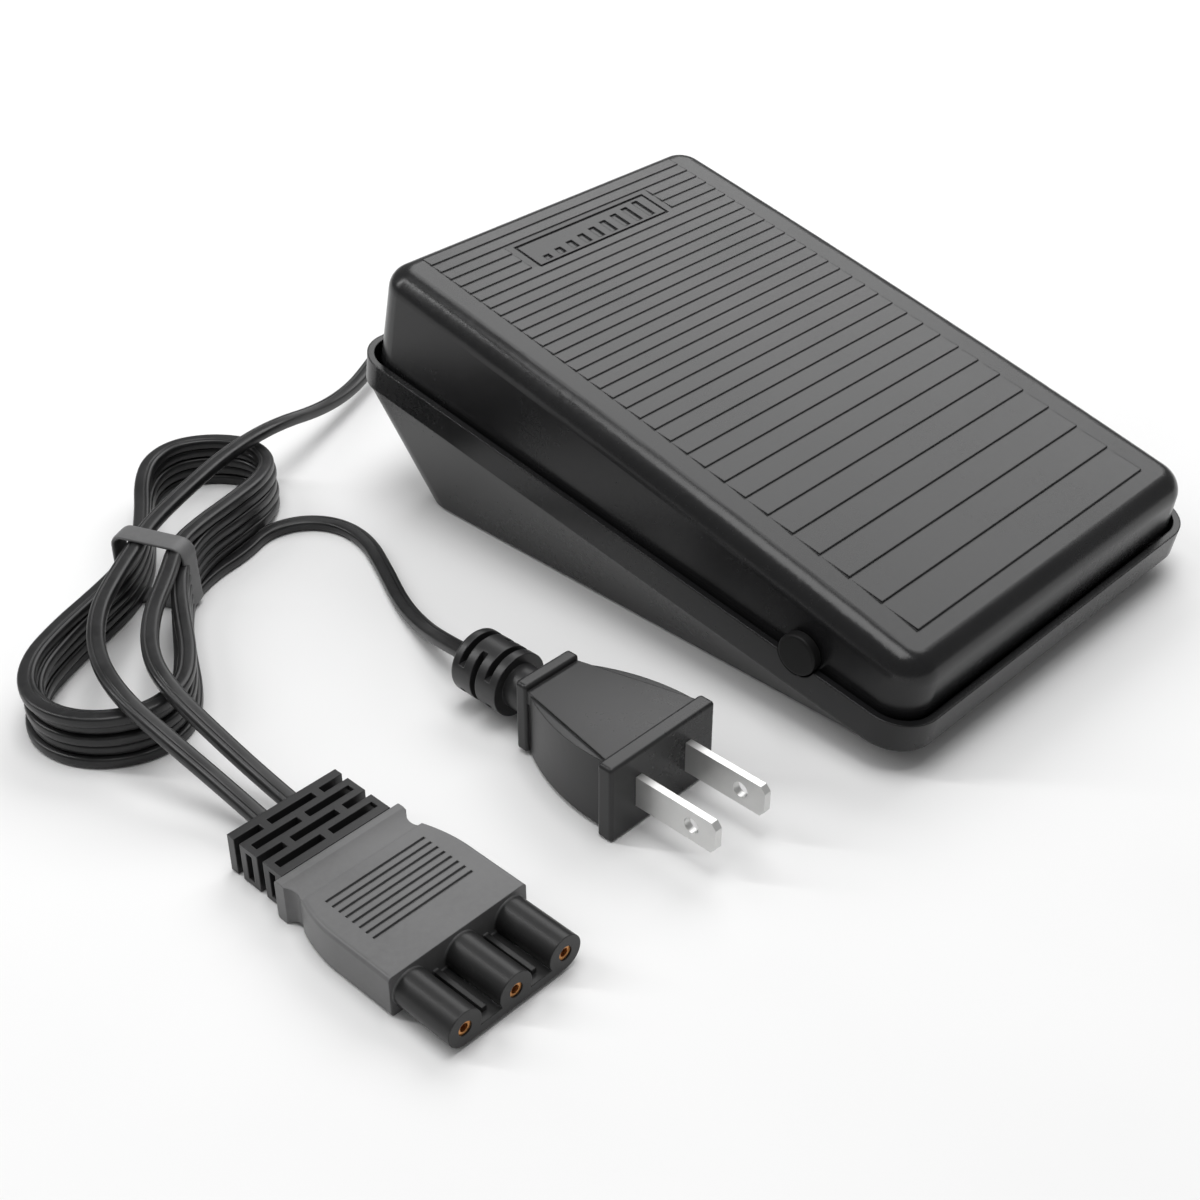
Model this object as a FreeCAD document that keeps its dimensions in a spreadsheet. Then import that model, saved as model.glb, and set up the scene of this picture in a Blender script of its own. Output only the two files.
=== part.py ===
import FreeCAD, Part
import math
import os
import re
import Sketcher

# Sewing machine speed pedal: a wedge-shaped tub with a ridged treadle hinged near its
# low end, an electronic speed control inside, and its lead, hank, connector and plug.
# +Z is up, +Y points to the high (toe) end, the origin is under the middle of the tub.

Vector = FreeCAD.Vector
doc = FreeCAD.newDocument("sewing_machine_pedal")

# ---------------------------------------------------------------- driving dimensions
SIZES = [
    ("rim_length", 148.0, "outer length of the rim band, along its slope projected flat"),
    ("rim_width", 100.0, "outer width of the rim band"),
    ("rim_corner", 8.5, "plan corner radius of the rim band"),
    ("rim_tilt", 9.09, "slope of the rim, degrees"),
    ("rim_middle", 22.9, "height of the rim's top edge at mid length"),
    ("band_height", 6.2, "height of the vertical band below the rim edge"),
    ("rim_wall", 1.5, "wall of the rim band, seen as a ledge round the treadle"),
    ("tub_step", 0.3, "step in from the band to the tub"),
    ("tub_width", 88.0, "width of the tub's underside"),
    ("tub_length", 129.0, "length of the tub's underside"),
    ("tub_shift", -2.5, "middle of the underside along Y"),
    ("tub_corner", 9.0, "plan corner radius of the underside"),
    ("tub_wall", 2.2, "wall and floor of the tub"),
    ("foot_height", 0.8, "how far the rubber feet stand out"),
    ("foot_radius", 5.0, "rubber foot radius"),
    ("foot_sink", 1.0, "how deep each foot sits in its recess"),
    ("foot_gap_x", 68.0, "feet centre distance across"),
    ("foot_low", -56.0, "Y of the feet at the low end"),
    ("foot_high", 48.0, "Y of the feet at the high end"),
    ("cover_width", 95.7, "treadle width at the seam"),
    ("cover_low", -72.7, "treadle edge at the low end, along the slope"),
    ("cover_high", 71.9, "treadle edge at the high end, along the slope"),
    ("cover_corner", 7.2, "treadle plan corner radius"),
    ("cover_draft", 2.8, "lean of the treadle's side walls, degrees"),
    ("cover_skirt", 0.8, "how far the treadle reaches below the rim edge"),
    ("cover_wall", 2.4, "treadle wall"),
    ("crown_middle", 17.3, "treadle top above the rim plane at mid length"),
    ("crown_rise", 0.0743, "slope of the treadle top over the rim plane"),
    ("crown_bow", 0.000171, "bow of the treadle top, per mm squared"),
    ("top_round", 4.8, "rounding all round the treadle's top"),
    ("inner_round", 2.4, "rounding inside the treadle"),
    ("ridge_count", 32, "ridges across the treadle"),
    ("ridge_first", 59.6, "Y of the first ridge"),
    ("ridge_last", -66.2, "Y of the last ridge"),
    ("ridge_fine", 2.95, "ridge pitch at the high end"),
    ("ridge_coarse", 8.2, "ridge pitch at the low end"),
    ("ridge_width", 76.0, "ridge length across the treadle"),
    ("ridge_high", 0.42, "height of the saw-tooth ridge at the low end"),
    ("ridge_slight", 0.24, "height of the saw-tooth ridge at the high end"),
    ("ridge_run", 0.96, "length of the slope of a ridge, as a share of the pitch"),
    ("panel_left", -18.6, "mark panel edge"),
    ("panel_right", 21.2, "mark panel edge"),
    ("panel_low", 47.2, "mark panel edge"),
    ("panel_high", 55.4, "mark panel edge"),
    ("panel_line", 0.5, "width of the panel's engraved frame"),
    ("mark_count", 9, "bars of the speed mark"),
    ("hinge_y", -49.0, "hinge axis along the length"),
    ("hinge_z", 16.7, "hinge axis height"),
    ("pin_radius", 2.0, "hinge pin radius"),
    ("pin_length", 98.8, "hinge pin length"),
    ("pin_play", 0.06, "radial clearance of the treadle's bosses on the pin"),
    ("cap_radius", 4.2, "hinge cap radius"),
    ("cap_inner", 48.4, "inner face of a hinge cap"),
    ("cap_outer", 50.4, "outer face of a hinge cap"),
    ("lug_inner", 35.5, "inner face of a pin lug"),
    ("lug_outer", 41.5, "outer face of a pin lug"),
    ("lug_radius", 4.4, "radius of the lug's eye"),
    ("boss_inner", 42.2, "inner face of a treadle hinge boss"),
    ("spring_y", 44.0, "return spring place"),
    ("spring_foot", 4.5, "height of the spring's lower end"),
    ("spring_head", 27.0, "height of the spring's upper end"),
    ("seat_head", 48.4, "height where the upper spring seat joins the treadle"),
    ("spring_radius", 5.6, "mean coil radius"),
    ("spring_wire", 0.7, "wire radius"),
    ("spring_turns", 7, "turns of the spring"),
    ("seat_radius", 7.4, "radius of the spring seats"),
    ("guide_radius", 4.0, "radius of the pins inside the spring"),
    ("hook_x", 27.0, "stop hook place across"),
    ("hook_width", 6.0, "stop hook width"),
    ("hook_y", 58.0, "stop hook's near face"),
    ("hook_foot", 20.0, "height of the hook's tip"),
    ("hook_head", 51.5, "height where the hook joins the treadle"),
    ("catch_y", 61.3, "edge of the catch over the hook's barb"),
    ("catch_reach", 9.8, "depth of the catch, into the tub's end wall"),
    ("board_length", 62.0, "circuit board across"),
    ("board_depth", 54.0, "circuit board along Y"),
    ("board_thick", 1.6, "circuit board thickness"),
    ("board_low", 9.0, "underside of the circuit board"),
    ("post_x", 27.0, "board screw place across"),
    ("post_y", 23.0, "board screw place along Y"),
    ("post_radius", 3.2, "board post radius"),
    ("screw_radius", 1.4, "screw shank radius"),
    ("screw_head", 2.7, "screw head radius"),
    ("plunger_y", 6.0, "speed control plunger place"),
    ("plunger_radius", 2.2, "plunger rod radius"),
    ("plunger_head", 4.4, "plunger head radius"),
    ("plunger_foot", 15.3, "lower end of the rod"),
    ("plunger_top", 26.6, "top of the head"),
    ("pad_head", 39.6, "height where the pad over the plunger joins the treadle"),
    ("control_top", 21.5, "top of the speed control's body"),
    ("gland_x", 8.0, "cord gland place across"),
    ("gland_z", 17.0, "cord gland height"),
    ("gland_radius", 4.0, "cord gland radius at the wall"),
    ("gland_tip", 2.6, "cord gland radius at its tip"),
    ("gland_end", 90.0, "Y of the gland's tip"),
    ("cord_radius", 1.7, "half the flat cord's width"),
    ("hank_height", 11.5, "height of the five stacked turns"),
    ("tie_thick", 0.8, "thickness of the tie strap"),
    ("tie_width", 4.8, "width of the tie strap"),
    ("tie_span", 15.8, "inside width of the tie"),
    ("tie_height", 15.8, "outside height of the tie"),
    ("tie_turn", -65.0, "direction of the tie across the hank, degrees"),
    ("tie_x", -106.5, "middle of the tie"),
    ("tie_y", 69.7, "middle of the tie"),
    ("link_x", -133.5, "middle of the machine connector"),
    ("link_width", 29.2, "connector body width"),
    ("link_thick", 8.3, "connector thickness"),
    ("link_rear", -26.5, "Y of the connector body's rear"),
    ("link_front", -49.3, "Y of the connector body's front"),
    ("lip_rear", -19.5, "Y of the rear of the connector's lip"),
    ("lip_width", 26.2, "width of the connector's lip"),
    ("waist_y", -24.2, "Y of the waist between lip and body"),
    ("waist_width", 24.0, "width at the waist"),
    ("waist_dip", 1.1, "depth of the valley across the waist"),
    ("link_pitch", 10.7, "distance between the socket tubes"),
    ("tube_radius", 3.4, "socket tube radius"),
    ("tube_end", -62.0, "Y of the socket tubes' ends"),
    ("contact_radius", 1.35, "brass contact radius"),
    ("link_boot_width", 23.2, "connector boot width"),
    ("link_slot", 1.6, "width of the connector boot's gaps"),
    ("link_gap_pitch", 3.1, "spacing of the connector boot's gaps"),
    ("link_gap_length", 9.6, "length of one gap across the connector's boot"),
    ("link_gap_deep", 2.2, "depth of the gaps in the connector's boot"),
    ("link_gap_step", 11.2, "spacing of the gaps in one row"),
    ("link_sweep", 11.0, "length over which the connector narrows to its waist"),
    ("grip_width", 21.0, "length of the connector's grip grooves"),
    ("grip_groove", 0.55, "width of a grip groove"),
    ("grip_pitch", 1.65, "spacing of the grip grooves"),
    ("link_boot_end", -5.0, "Y of the connector boot's rear"),
    ("plug_x", -83.1, "middle of the wall plug"),
    ("plug_z", 8.1, "height of the plug's axis"),
    ("plug_face", -46.8, "Y of the plug's front face"),
    ("plug_height", 16.2, "height of the plug's flanges"),
    ("front_width", 26.4, "width of the front flange"),
    ("front_thick", 3.4, "thickness of the front flange"),
    ("rear_width", 13.6, "width of the rear flange"),
    ("rear_y", -17.0, "Y of the plug's rear face"),
    ("rear_thick", 2.8, "thickness of the rear flange"),
    ("rear_foot", 0.7, "height of the rear flange's underside"),
    ("flange_tuck", 0.8, "how far the plug's body runs into its flanges"),
    ("belly_rear", 5.6, "half width of the plug's body at the rear flange"),
    ("belly_middle", 10.3, "half width of the plug's body where it stops swelling"),
    ("belly_front", 11.6, "half width of the plug's body at the front flange"),
    ("belly_swell", 11.0, "length over which the plug's body swells"),
    ("belly_foot", 0.9, "height of the underside of the plug's body"),
    ("belly_step", 0.45, "step from the plug's flat top down to its body"),
    ("lid_rear", 6.2, "half width of the flat top at the rear flange"),
    ("lid_front", 11.9, "half width of the flat top at the front flange"),
    ("lid_foot", 12.0, "height of the underside of the flat top"),
    ("boot_radius", 6.4, "radius of the plug's boot"),
    ("boot_end", 1.0, "Y of the rear end of the plug's boot"),
    ("boot_neck", 4.4, "radius of the neck between the boot and the plug"),
    ("boot_core", 3.9, "radius left inside the gaps of the plug's boot"),
    ("boot_gap", 1.4, "width of the gaps of the plug's boot"),
    ("boot_pitch", 3.4, "spacing of the gaps of the plug's boot"),
    ("rear_height", 15.2, "height of the rear flange itself"),
    ("rear_top", 14.8, "height of the plug's flat top at the rear flange"),
    ("flange_round", 0.7, "rounding of the flanges"),
    ("blade_gap", 12.7, "blade spacing"),
    ("blade_thick", 1.5, "blade thickness"),
    ("blade_height", 6.35, "blade width, upright here"),
    ("blade_length", 18.0, "blade length outside the plug"),
    ("blade_hole", 1.6, "blade hole radius"),
]

sheet = doc.addObject("Spreadsheet::Sheet", "Sizes")
for row, (alias, number, note) in enumerate(SIZES, 1):
    sheet.set("A%d" % row, note)
    sheet.set("B%d" % row, str(number))
    sheet.setAlias("B%d" % row, alias)
doc.recompute()
ALIASES = {alias for alias, number, note in SIZES}


def size(alias):
    """The sheet's value, for geometry that Part's own functions make."""
    return float(getattr(sheet, alias))


def formula(text):
    """An expression with every alias pointed at the sheet."""
    return re.sub(r"[a-z_]+", lambda m: "Sizes." + m[0] if m[0] in ALIASES else m[0], text)


def value(text):
    """The number that an expression gives now."""
    result = sheet.evalExpression(formula(text).replace("Sizes.", ""))
    return float(getattr(result, "Value", result))


def bind(obj, **properties):
    """Tie properties to expressions; a double underscore stands for a dot."""
    for name, text in properties.items():
        obj.setExpression(name.replace("__", "."), formula(text))
    return obj


def place(obj, x="0", y="0", z="0", turn="0", axis=(0, 0, 1)):
    """Tie the whole placement of an object to expressions."""
    obj.Placement = FreeCAD.Placement(Vector(), FreeCAD.Rotation(Vector(*axis), 1))
    return bind(obj, Placement__Base__x=x, Placement__Base__y=y, Placement__Base__z=z,
                Placement__Rotation__Angle=turn)


def new(kind, name):
    obj = doc.addObject(kind, name)
    obj.Label = name
    return obj


# ------------------------------------------------------------------------ primitives
def box(name, wide, deep, high, x="0", y="0", z="0"):
    """A box centred on x and y, standing on z."""
    obj = bind(new("Part::Box", name), Length=wide, Width=deep, Height=high)
    return place(obj, "%s - (%s) / 2" % (x, wide), "%s - (%s) / 2" % (y, deep), z)


def post(name, radius, high, x="0", y="0", z="0"):
    """An upright cylinder standing on z."""
    obj = bind(new("Part::Cylinder", name), Radius=radius, Height=high)
    return place(obj, x, y, z)


def bar_x(name, radius, start, end, y, z):
    """A cylinder along X."""
    obj = bind(new("Part::Cylinder", name), Radius=radius, Height="%s - (%s)" % (end, start))
    return place(obj, start, y, z, "90", (0, 1, 0))


def bar_y(name, radius, start, end, x, z):
    """A cylinder along Y, from its low to its high end."""
    obj = bind(new("Part::Cylinder", name), Radius=radius, Height="%s - (%s)" % (end, start))
    return place(obj, x, start, z, "-90", (1, 0, 0))


def cone_y(name, low_radius, high_radius, start, end, x, z):
    obj = bind(new("Part::Cone", name), Radius1=low_radius, Radius2=high_radius,
               Height="%s - (%s)" % (end, start))
    return place(obj, x, start, z, "-90", (1, 0, 0))


def fuse(name, *shapes):
    obj = new("Part::MultiFuse", name)
    obj.Shapes = list(shapes)
    return obj


def cut(name, base, *tools):
    """The base less one or more tools."""
    tool = tools[0] if len(tools) == 1 else fuse(name + "_tools", *tools)
    obj = new("Part::Cut", name)
    obj.Base = base
    obj.Tool = tool
    return obj


def group(name, *shapes):
    """Separate solids that share one node."""
    obj = new("Part::Compound", name)
    obj.Links = list(shapes)
    return obj


def fillet(name, base, radii):
    """Round edges; radii gives one radius, or a start and an end radius, per edge number."""
    obj = new("Part::Fillet", name)
    obj.Base = base
    obj.Edges = [(edge, pair[0], pair[1]) for edge, pair in radii.items()]
    return obj


def made(name, shape):
    """A shape that Part's own functions made from the sheet's sizes."""
    obj = new("Part::Feature", name)
    obj.Shape = shape
    return obj


def rounded_block(name, block, radius):
    """A box with all its edges rounded."""
    return fillet(name, block, {number: (radius, radius) for number in range(1, 13)})


def bent_face(start, *steps):
    """A flat face. Each step holds a corner, or a point to pass on an arc and then a corner."""
    edges = []
    here = start
    for step in steps + ((start,),):
        if len(step) == 2:
            edges.append(Part.Arc(here, *step).toShape())
        elif (step[0] - here).Length > 1e-6:
            edges.append(Part.LineSegment(here, *step).toShape())
        here = step[-1]
    return Part.Face(Part.Wire(edges))


# -------------------------------------------------------------------------- sketches
def rounded_rectangle(sketch, left, right, low, high, radius):
    """Four lines and four equal tangent arcs, each side tied to an expression."""
    x0, x1, y0, y1, r = (value(text) for text in (left, right, low, high, radius))
    lines = [((x0 + r, y0), (x1 - r, y0)), ((x1, y0 + r), (x1, y1 - r)),
             ((x1 - r, y1), (x0 + r, y1)), ((x0, y1 - r), (x0, y0 + r))]
    centres = [(x1 - r, y0 + r), (x1 - r, y1 - r), (x0 + r, y1 - r), (x0 + r, y0 + r)]
    for start, end in lines:
        sketch.addGeometry(Part.LineSegment(Vector(*start, 0), Vector(*end, 0)), False)
    for step, centre in enumerate(centres):
        circle = Part.Circle(Vector(*centre, 0), Vector(0, 0, 1), r)
        start = math.radians(90 * step - 90)
        sketch.addGeometry(Part.ArcOfCircle(circle, start, start + math.pi / 2), False)
    for side in range(4):
        arc = side + 4
        sketch.addConstraint(Sketcher.Constraint("Tangent", side, 2, arc, 1))
        sketch.addConstraint(Sketcher.Constraint("Tangent", arc, 2, (side + 1) % 4, 1))
        sketch.addConstraint(Sketcher.Constraint("Vertical" if side % 2 else "Horizontal", side))
        if side:
            sketch.addConstraint(Sketcher.Constraint("Equal", 4, arc))
    ties = [("DistanceX", 3, left, x0), ("DistanceX", 1, right, x1),
            ("DistanceY", 0, low, y0), ("DistanceY", 2, high, y1)]
    for kind, side, text, number in ties:
        index = sketch.addConstraint(Sketcher.Constraint(kind, -1, 1, side, 1, number))
        sketch.setExpression("Constraints[%d]" % index, formula(text))
    index = sketch.addConstraint(Sketcher.Constraint("Radius", 4, r))
    sketch.setExpression("Constraints[%d]" % index, formula(radius))
    return sketch


def outline(sketch, points):
    """A closed run of lines with every corner tied to a pair of expressions."""
    corners = [(value(x), value(y)) for x, y in points]
    count = len(corners)
    for step in range(count):
        start, end = corners[step], corners[(step + 1) % count]
        sketch.addGeometry(Part.LineSegment(Vector(*start, 0), Vector(*end, 0)), False)
    for step, (x, y) in enumerate(points):
        sketch.addConstraint(Sketcher.Constraint("Coincident", step - 1 if step else count - 1, 2, step, 1))
        for kind, text, number in (("DistanceX", x, corners[step][0]), ("DistanceY", y, corners[step][1])):
            index = sketch.addConstraint(Sketcher.Constraint(kind, -1, 1, step, 1, number))
            sketch.setExpression("Constraints[%d]" % index, formula(text))
    return sketch


def origin_plane(body, role):
    return next(item for item in body.Origin.OriginFeatures if item.Role == role)


def body_sketch(body, name, role, offset="0"):
    """A sketch on one of the body's own origin planes, lifted along the plane's normal."""
    sketch = body.newObject("Sketcher::SketchObject", name)
    sketch.AttachmentSupport = (origin_plane(body, role), [""])
    sketch.MapMode = "FlatFace"
    sketch.setExpression(".AttachmentOffset.Base.z", formula(offset))
    return sketch


def padded(name, role, high, offset, draw, draft="0"):
    """A body with one pad of the sketch that draw() fills in."""
    body = new("PartDesign::Body", name)
    sketch = body_sketch(body, name + "_outline", role, offset)
    draw(sketch)
    pad = body.newObject("PartDesign::Pad", name + "_pad")
    pad.Profile = sketch
    bind(pad, Length=high, TaperAngle=draft)
    sketch.Visibility = False
    return body


def rim_frame(obj, lift="0"):
    """Put an object in the rim's sloping frame, whose plane holds the rim's top edge."""
    return place(obj, "0", "-band_height * sin(rim_tilt) / 2 - (%s) * sin(rim_tilt)" % lift,
                 "rim_middle + (%s) * cos(rim_tilt)" % lift, "rim_tilt", (1, 0, 0))


def free_sketch(name, draw):
    sketch = new("Sketcher::SketchObject", name)
    draw(sketch)
    return sketch


# ------------------------------------------------------------------ the treadle's blank
RIM_END = "rim_length / cos(rim_tilt) / 2"


def treadle_blank(name, inset, drop, foot):
    """The treadle's form: a drafted rounded block with a bowed, sloping top."""
    block = padded(name + "_block", "XY_Plane", "34", foot, lambda sketch: rounded_rectangle(
        sketch, "-cover_width / 2 + %s" % inset, "cover_width / 2 - %s" % inset,
        "cover_low + %s" % inset, "cover_high - %s" % inset, "cover_corner - %s" % inset),
        "-cover_draft")
    rim_frame(block)
    half = 90.0
    crown = size("crown_middle") - value(drop)
    rise, bow = size("crown_rise"), size("crown_bow")
    ends = [Vector(-half, y, crown + rise * y - bow * y * y) for y in (-half, 0, half)]
    top = [Vector(-half, y, 60) for y in (half, -half)]
    wire = Part.Wire([Part.Arc(*ends).toShape(), Part.LineSegment(ends[2], top[0]).toShape(),
                      Part.LineSegment(*top).toShape(), Part.LineSegment(top[1], ends[0]).toShape()])
    sky = Part.Face(wire).extrude(Vector(2 * half, 0, 0))
    cutter = rim_frame(made(name + "_sky", sky))
    return cut(name + "_form", block, cutter)


def crown_height(y):
    """Height of the treadle's top over the floor at a place along Y."""
    tilt = math.radians(size("rim_tilt"))
    shift = -size("band_height") * math.sin(tilt) / 2
    along = (y - shift) * math.cos(tilt)
    for turn in range(8):
        above = size("crown_middle") + size("crown_rise") * along - size("crown_bow") * along ** 2
        along = (y - shift + above * math.sin(tilt)) / math.cos(tilt)
    return size("rim_middle") + along * math.sin(tilt) + above * math.cos(tilt)


def middle_of(face):
    u0, u1, v0, v1 = face.ParameterRange
    return (u0 + u1) / 2, (v0 + v1) / 2


def top_edges(form):
    """The edges round the treadle's top face, with their numbers."""
    doc.recompute()
    shape = form.Shape
    upward = [face for face in shape.Faces if face.normalAt(*middle_of(face)).z > 0.9]
    top = max(upward, key=lambda face: face.Area)
    numbers = {}
    for number, edge in enumerate(shape.Edges, 1):
        if any(edge.isSame(other) for other in top.Edges):
            numbers[number] = edge
    return numbers


def rounded_top(name, form, radius):
    """Round the whole edge of the top."""
    return fillet(name, form, {number: (radius, radius) for number in top_edges(form)})


# -------------------------------------------------------------------- treadle ridges
def ridge_places():
    """Y of every ridge: the pitch widens from the high end to the low end."""
    count = int(size("ridge_count"))
    first, last = size("ridge_first"), size("ridge_last")
    fine, coarse = size("ridge_fine"), size("ridge_coarse")
    spare = (first - last) - (count - 1) * fine
    power = (coarse - fine) * (count - 1) / spare - 1
    steps = [fine + (coarse - fine) * (step / (count - 2)) ** power for step in range(count - 1)]
    share = (first - last) / sum(steps)
    places = [first]
    for step in steps:
        places.append(places[-1] - step * share)
    return places


def ridge_wedges():
    """Saw-tooth wedges: an upright face towards the low end, sloping down to nothing uphill."""
    half = size("ridge_width") / 2
    high, slight, run, root = size("ridge_high"), size("ridge_slight"), size("ridge_run"), 0.5
    fine, coarse = size("ridge_fine"), size("ridge_coarse")
    places = ridge_places()
    gap = (size("panel_left") - 2.0, size("panel_right") + 2.0)
    wedges = []
    for step, y in enumerate(places):
        pitch = places[step - 1] - y if step else fine
        tall = slight + (high - slight) * (pitch - fine) / (coarse - fine)
        far = y + pitch * run
        section = [(y, crown_height(y) - root), (y, crown_height(y) + tall), (far, crown_height(far)),
                   (far, crown_height(far) - root)]
        broken = size("panel_low") < y < size("panel_high")
        spans = [(-half, gap[0]), (gap[1], half)] if broken else [(-half, half)]
        for start, end in spans:
            corners = [Vector(start, *point) for point in section]
            face = Part.Face(Part.makePolygon(corners + corners[:1]))
            wedges.append(face.extrude(Vector(end - start, 0, 0)))
    return wedges


def flat_cutter(left, right, low, high, depth):
    """A shallow recess in the sloping top."""
    corners = [Vector(left, low, crown_height(low) - depth), Vector(right, low, crown_height(low) - depth),
               Vector(right, high, crown_height(high) - depth),
               Vector(left, high, crown_height(high) - depth)]
    face = Part.Face(Part.makePolygon(corners + corners[:1]))
    return face.extrude(Vector(0, 0, depth + 1))


def mark_cutters():
    """An engraved frame and a rising row of bars: slow on the left, fast on the right."""
    left, right = size("panel_left"), size("panel_right")
    low, high, line = size("panel_low"), size("panel_high"), size("panel_line")
    depth = 0.35
    cutters = [flat_cutter(left, right, high - line, high, depth),
               flat_cutter(left, right, low, low + line, depth),
               flat_cutter(left, left + line, low + line, high - line, depth),
               flat_cutter(right - line, right, low + line, high - line, depth)]
    count = int(size("mark_count"))
    pitch = (right - left) / (count + 1)
    tall = high - low - 5 * line
    for step in range(count):
        middle = left + pitch * (step + 1)
        reach = tall * (0.25 + 0.75 * step / (count - 1))
        cutters.append(flat_cutter(middle - pitch * 0.22, middle + pitch * 0.22,
                                   low + 2.5 * line, low + 2.5 * line + reach, depth))
    return cutters


def treadle_cover():
    outer_form = treadle_blank("treadle_outer", "0", "0", "-cover_skirt")
    inner_form = treadle_blank("treadle_inner", "cover_wall", "cover_wall + 0.3", "-cover_skirt - 1")
    outer = rounded_top("treadle_outer_round", outer_form, size("top_round"))
    inner = rounded_top("treadle_inner_round", inner_form, size("inner_round"))
    bosses = []
    for side, name in ((-1, "left"), (1, "right")):
        ends = sorted(("%d * boss_inner" % side, "%d * (cover_width / 2 - 1.4)" % side), key=value)
        bosses.append(bar_x("hinge_boss_" + name, "lug_radius", ends[0], ends[1], "hinge_y", "hinge_z"))
        bosses.append(box("hook_tab_" + name, "hook_width", "2", "hook_head - hook_foot",
                          "%d * hook_x" % side, "hook_y + 1", "hook_foot"))
        bosses.append(box("hook_barb_" + name, "hook_width", "4.8", "2",
                          "%d * hook_x" % side, "hook_y + 2.4", "hook_foot"))
    bosses.append(post("spring_seat", "seat_radius", "seat_head - spring_head", "0", "spring_y",
                       "spring_head"))
    bosses.append(post("spring_guide", "guide_radius", "6", "0", "spring_y", "spring_head - 4"))
    bosses.append(post("plunger_pad", "plunger_head - 0.4", "pad_head - plunger_top - 0.4", "0",
                       "plunger_y", "plunger_top + 0.4"))
    shell = cut("treadle_shell", outer, inner)
    whole = fuse("treadle_whole", shell, *bosses)
    bore = bar_x("treadle_pin_bore", "pin_radius + pin_play", "-60", "60", "hinge_y", "hinge_z")
    marks = made("treadle_marks", Part.makeCompound(mark_cutters()))
    ridges = [made("treadle_ridge_%d" % step, wedge) for step, wedge in enumerate(ridge_wedges(), 1)]
    drilled = cut("treadle_drilled", whole, bore)
    return cut("treadle_cover", fuse("treadle_ridged", drilled, *ridges), marks)


# ------------------------------------------------------------------------- lower case
def tub_loft(name, floor, left, low, high, corner, rim_inset):
    """A loft from the flat underside to the sloping plane below the rim band."""
    bottom = free_sketch(name + "_low", lambda sketch: rounded_rectangle(
        sketch, "-(%s)" % left, left, low, high, corner))
    place(bottom, "0", "0", floor)
    top = free_sketch(name + "_high", lambda sketch: rounded_rectangle(
        sketch, "-rim_width / 2 + %s" % rim_inset, "rim_width / 2 - %s" % rim_inset,
        "-%s + %s" % (RIM_END, rim_inset), "%s - %s" % (RIM_END, rim_inset),
        "rim_corner - %s" % rim_inset))
    rim_frame(top, "-band_height")
    loft = new("Part::Loft", name)
    loft.Sections = [bottom, top]
    loft.Solid = True
    loft.Ruled = True
    return loft


def rim_block(name, inset, low, high):
    """An upright ring or plug in the rim's frame, with the band's rounded outline."""
    block = padded(name, "XY_Plane", high, low, lambda sketch: rounded_rectangle(
        sketch, "-rim_width / 2 + %s" % inset, "rim_width / 2 - %s" % inset,
        "-%s + %s" % (RIM_END, inset), "%s - %s" % (RIM_END, inset), "rim_corner - %s" % inset))
    return rim_frame(block)


BOARD_CORNERS = [(side_x, side_y) for side_x in (-1, 1) for side_y in (-1, 1)]
FEET = [(side, end) for side in (-1, 1) for end in ("foot_low", "foot_high")]
CLAMP_X = ("4.5", "17.5")
CLAMP_Y = "55.5"


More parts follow.
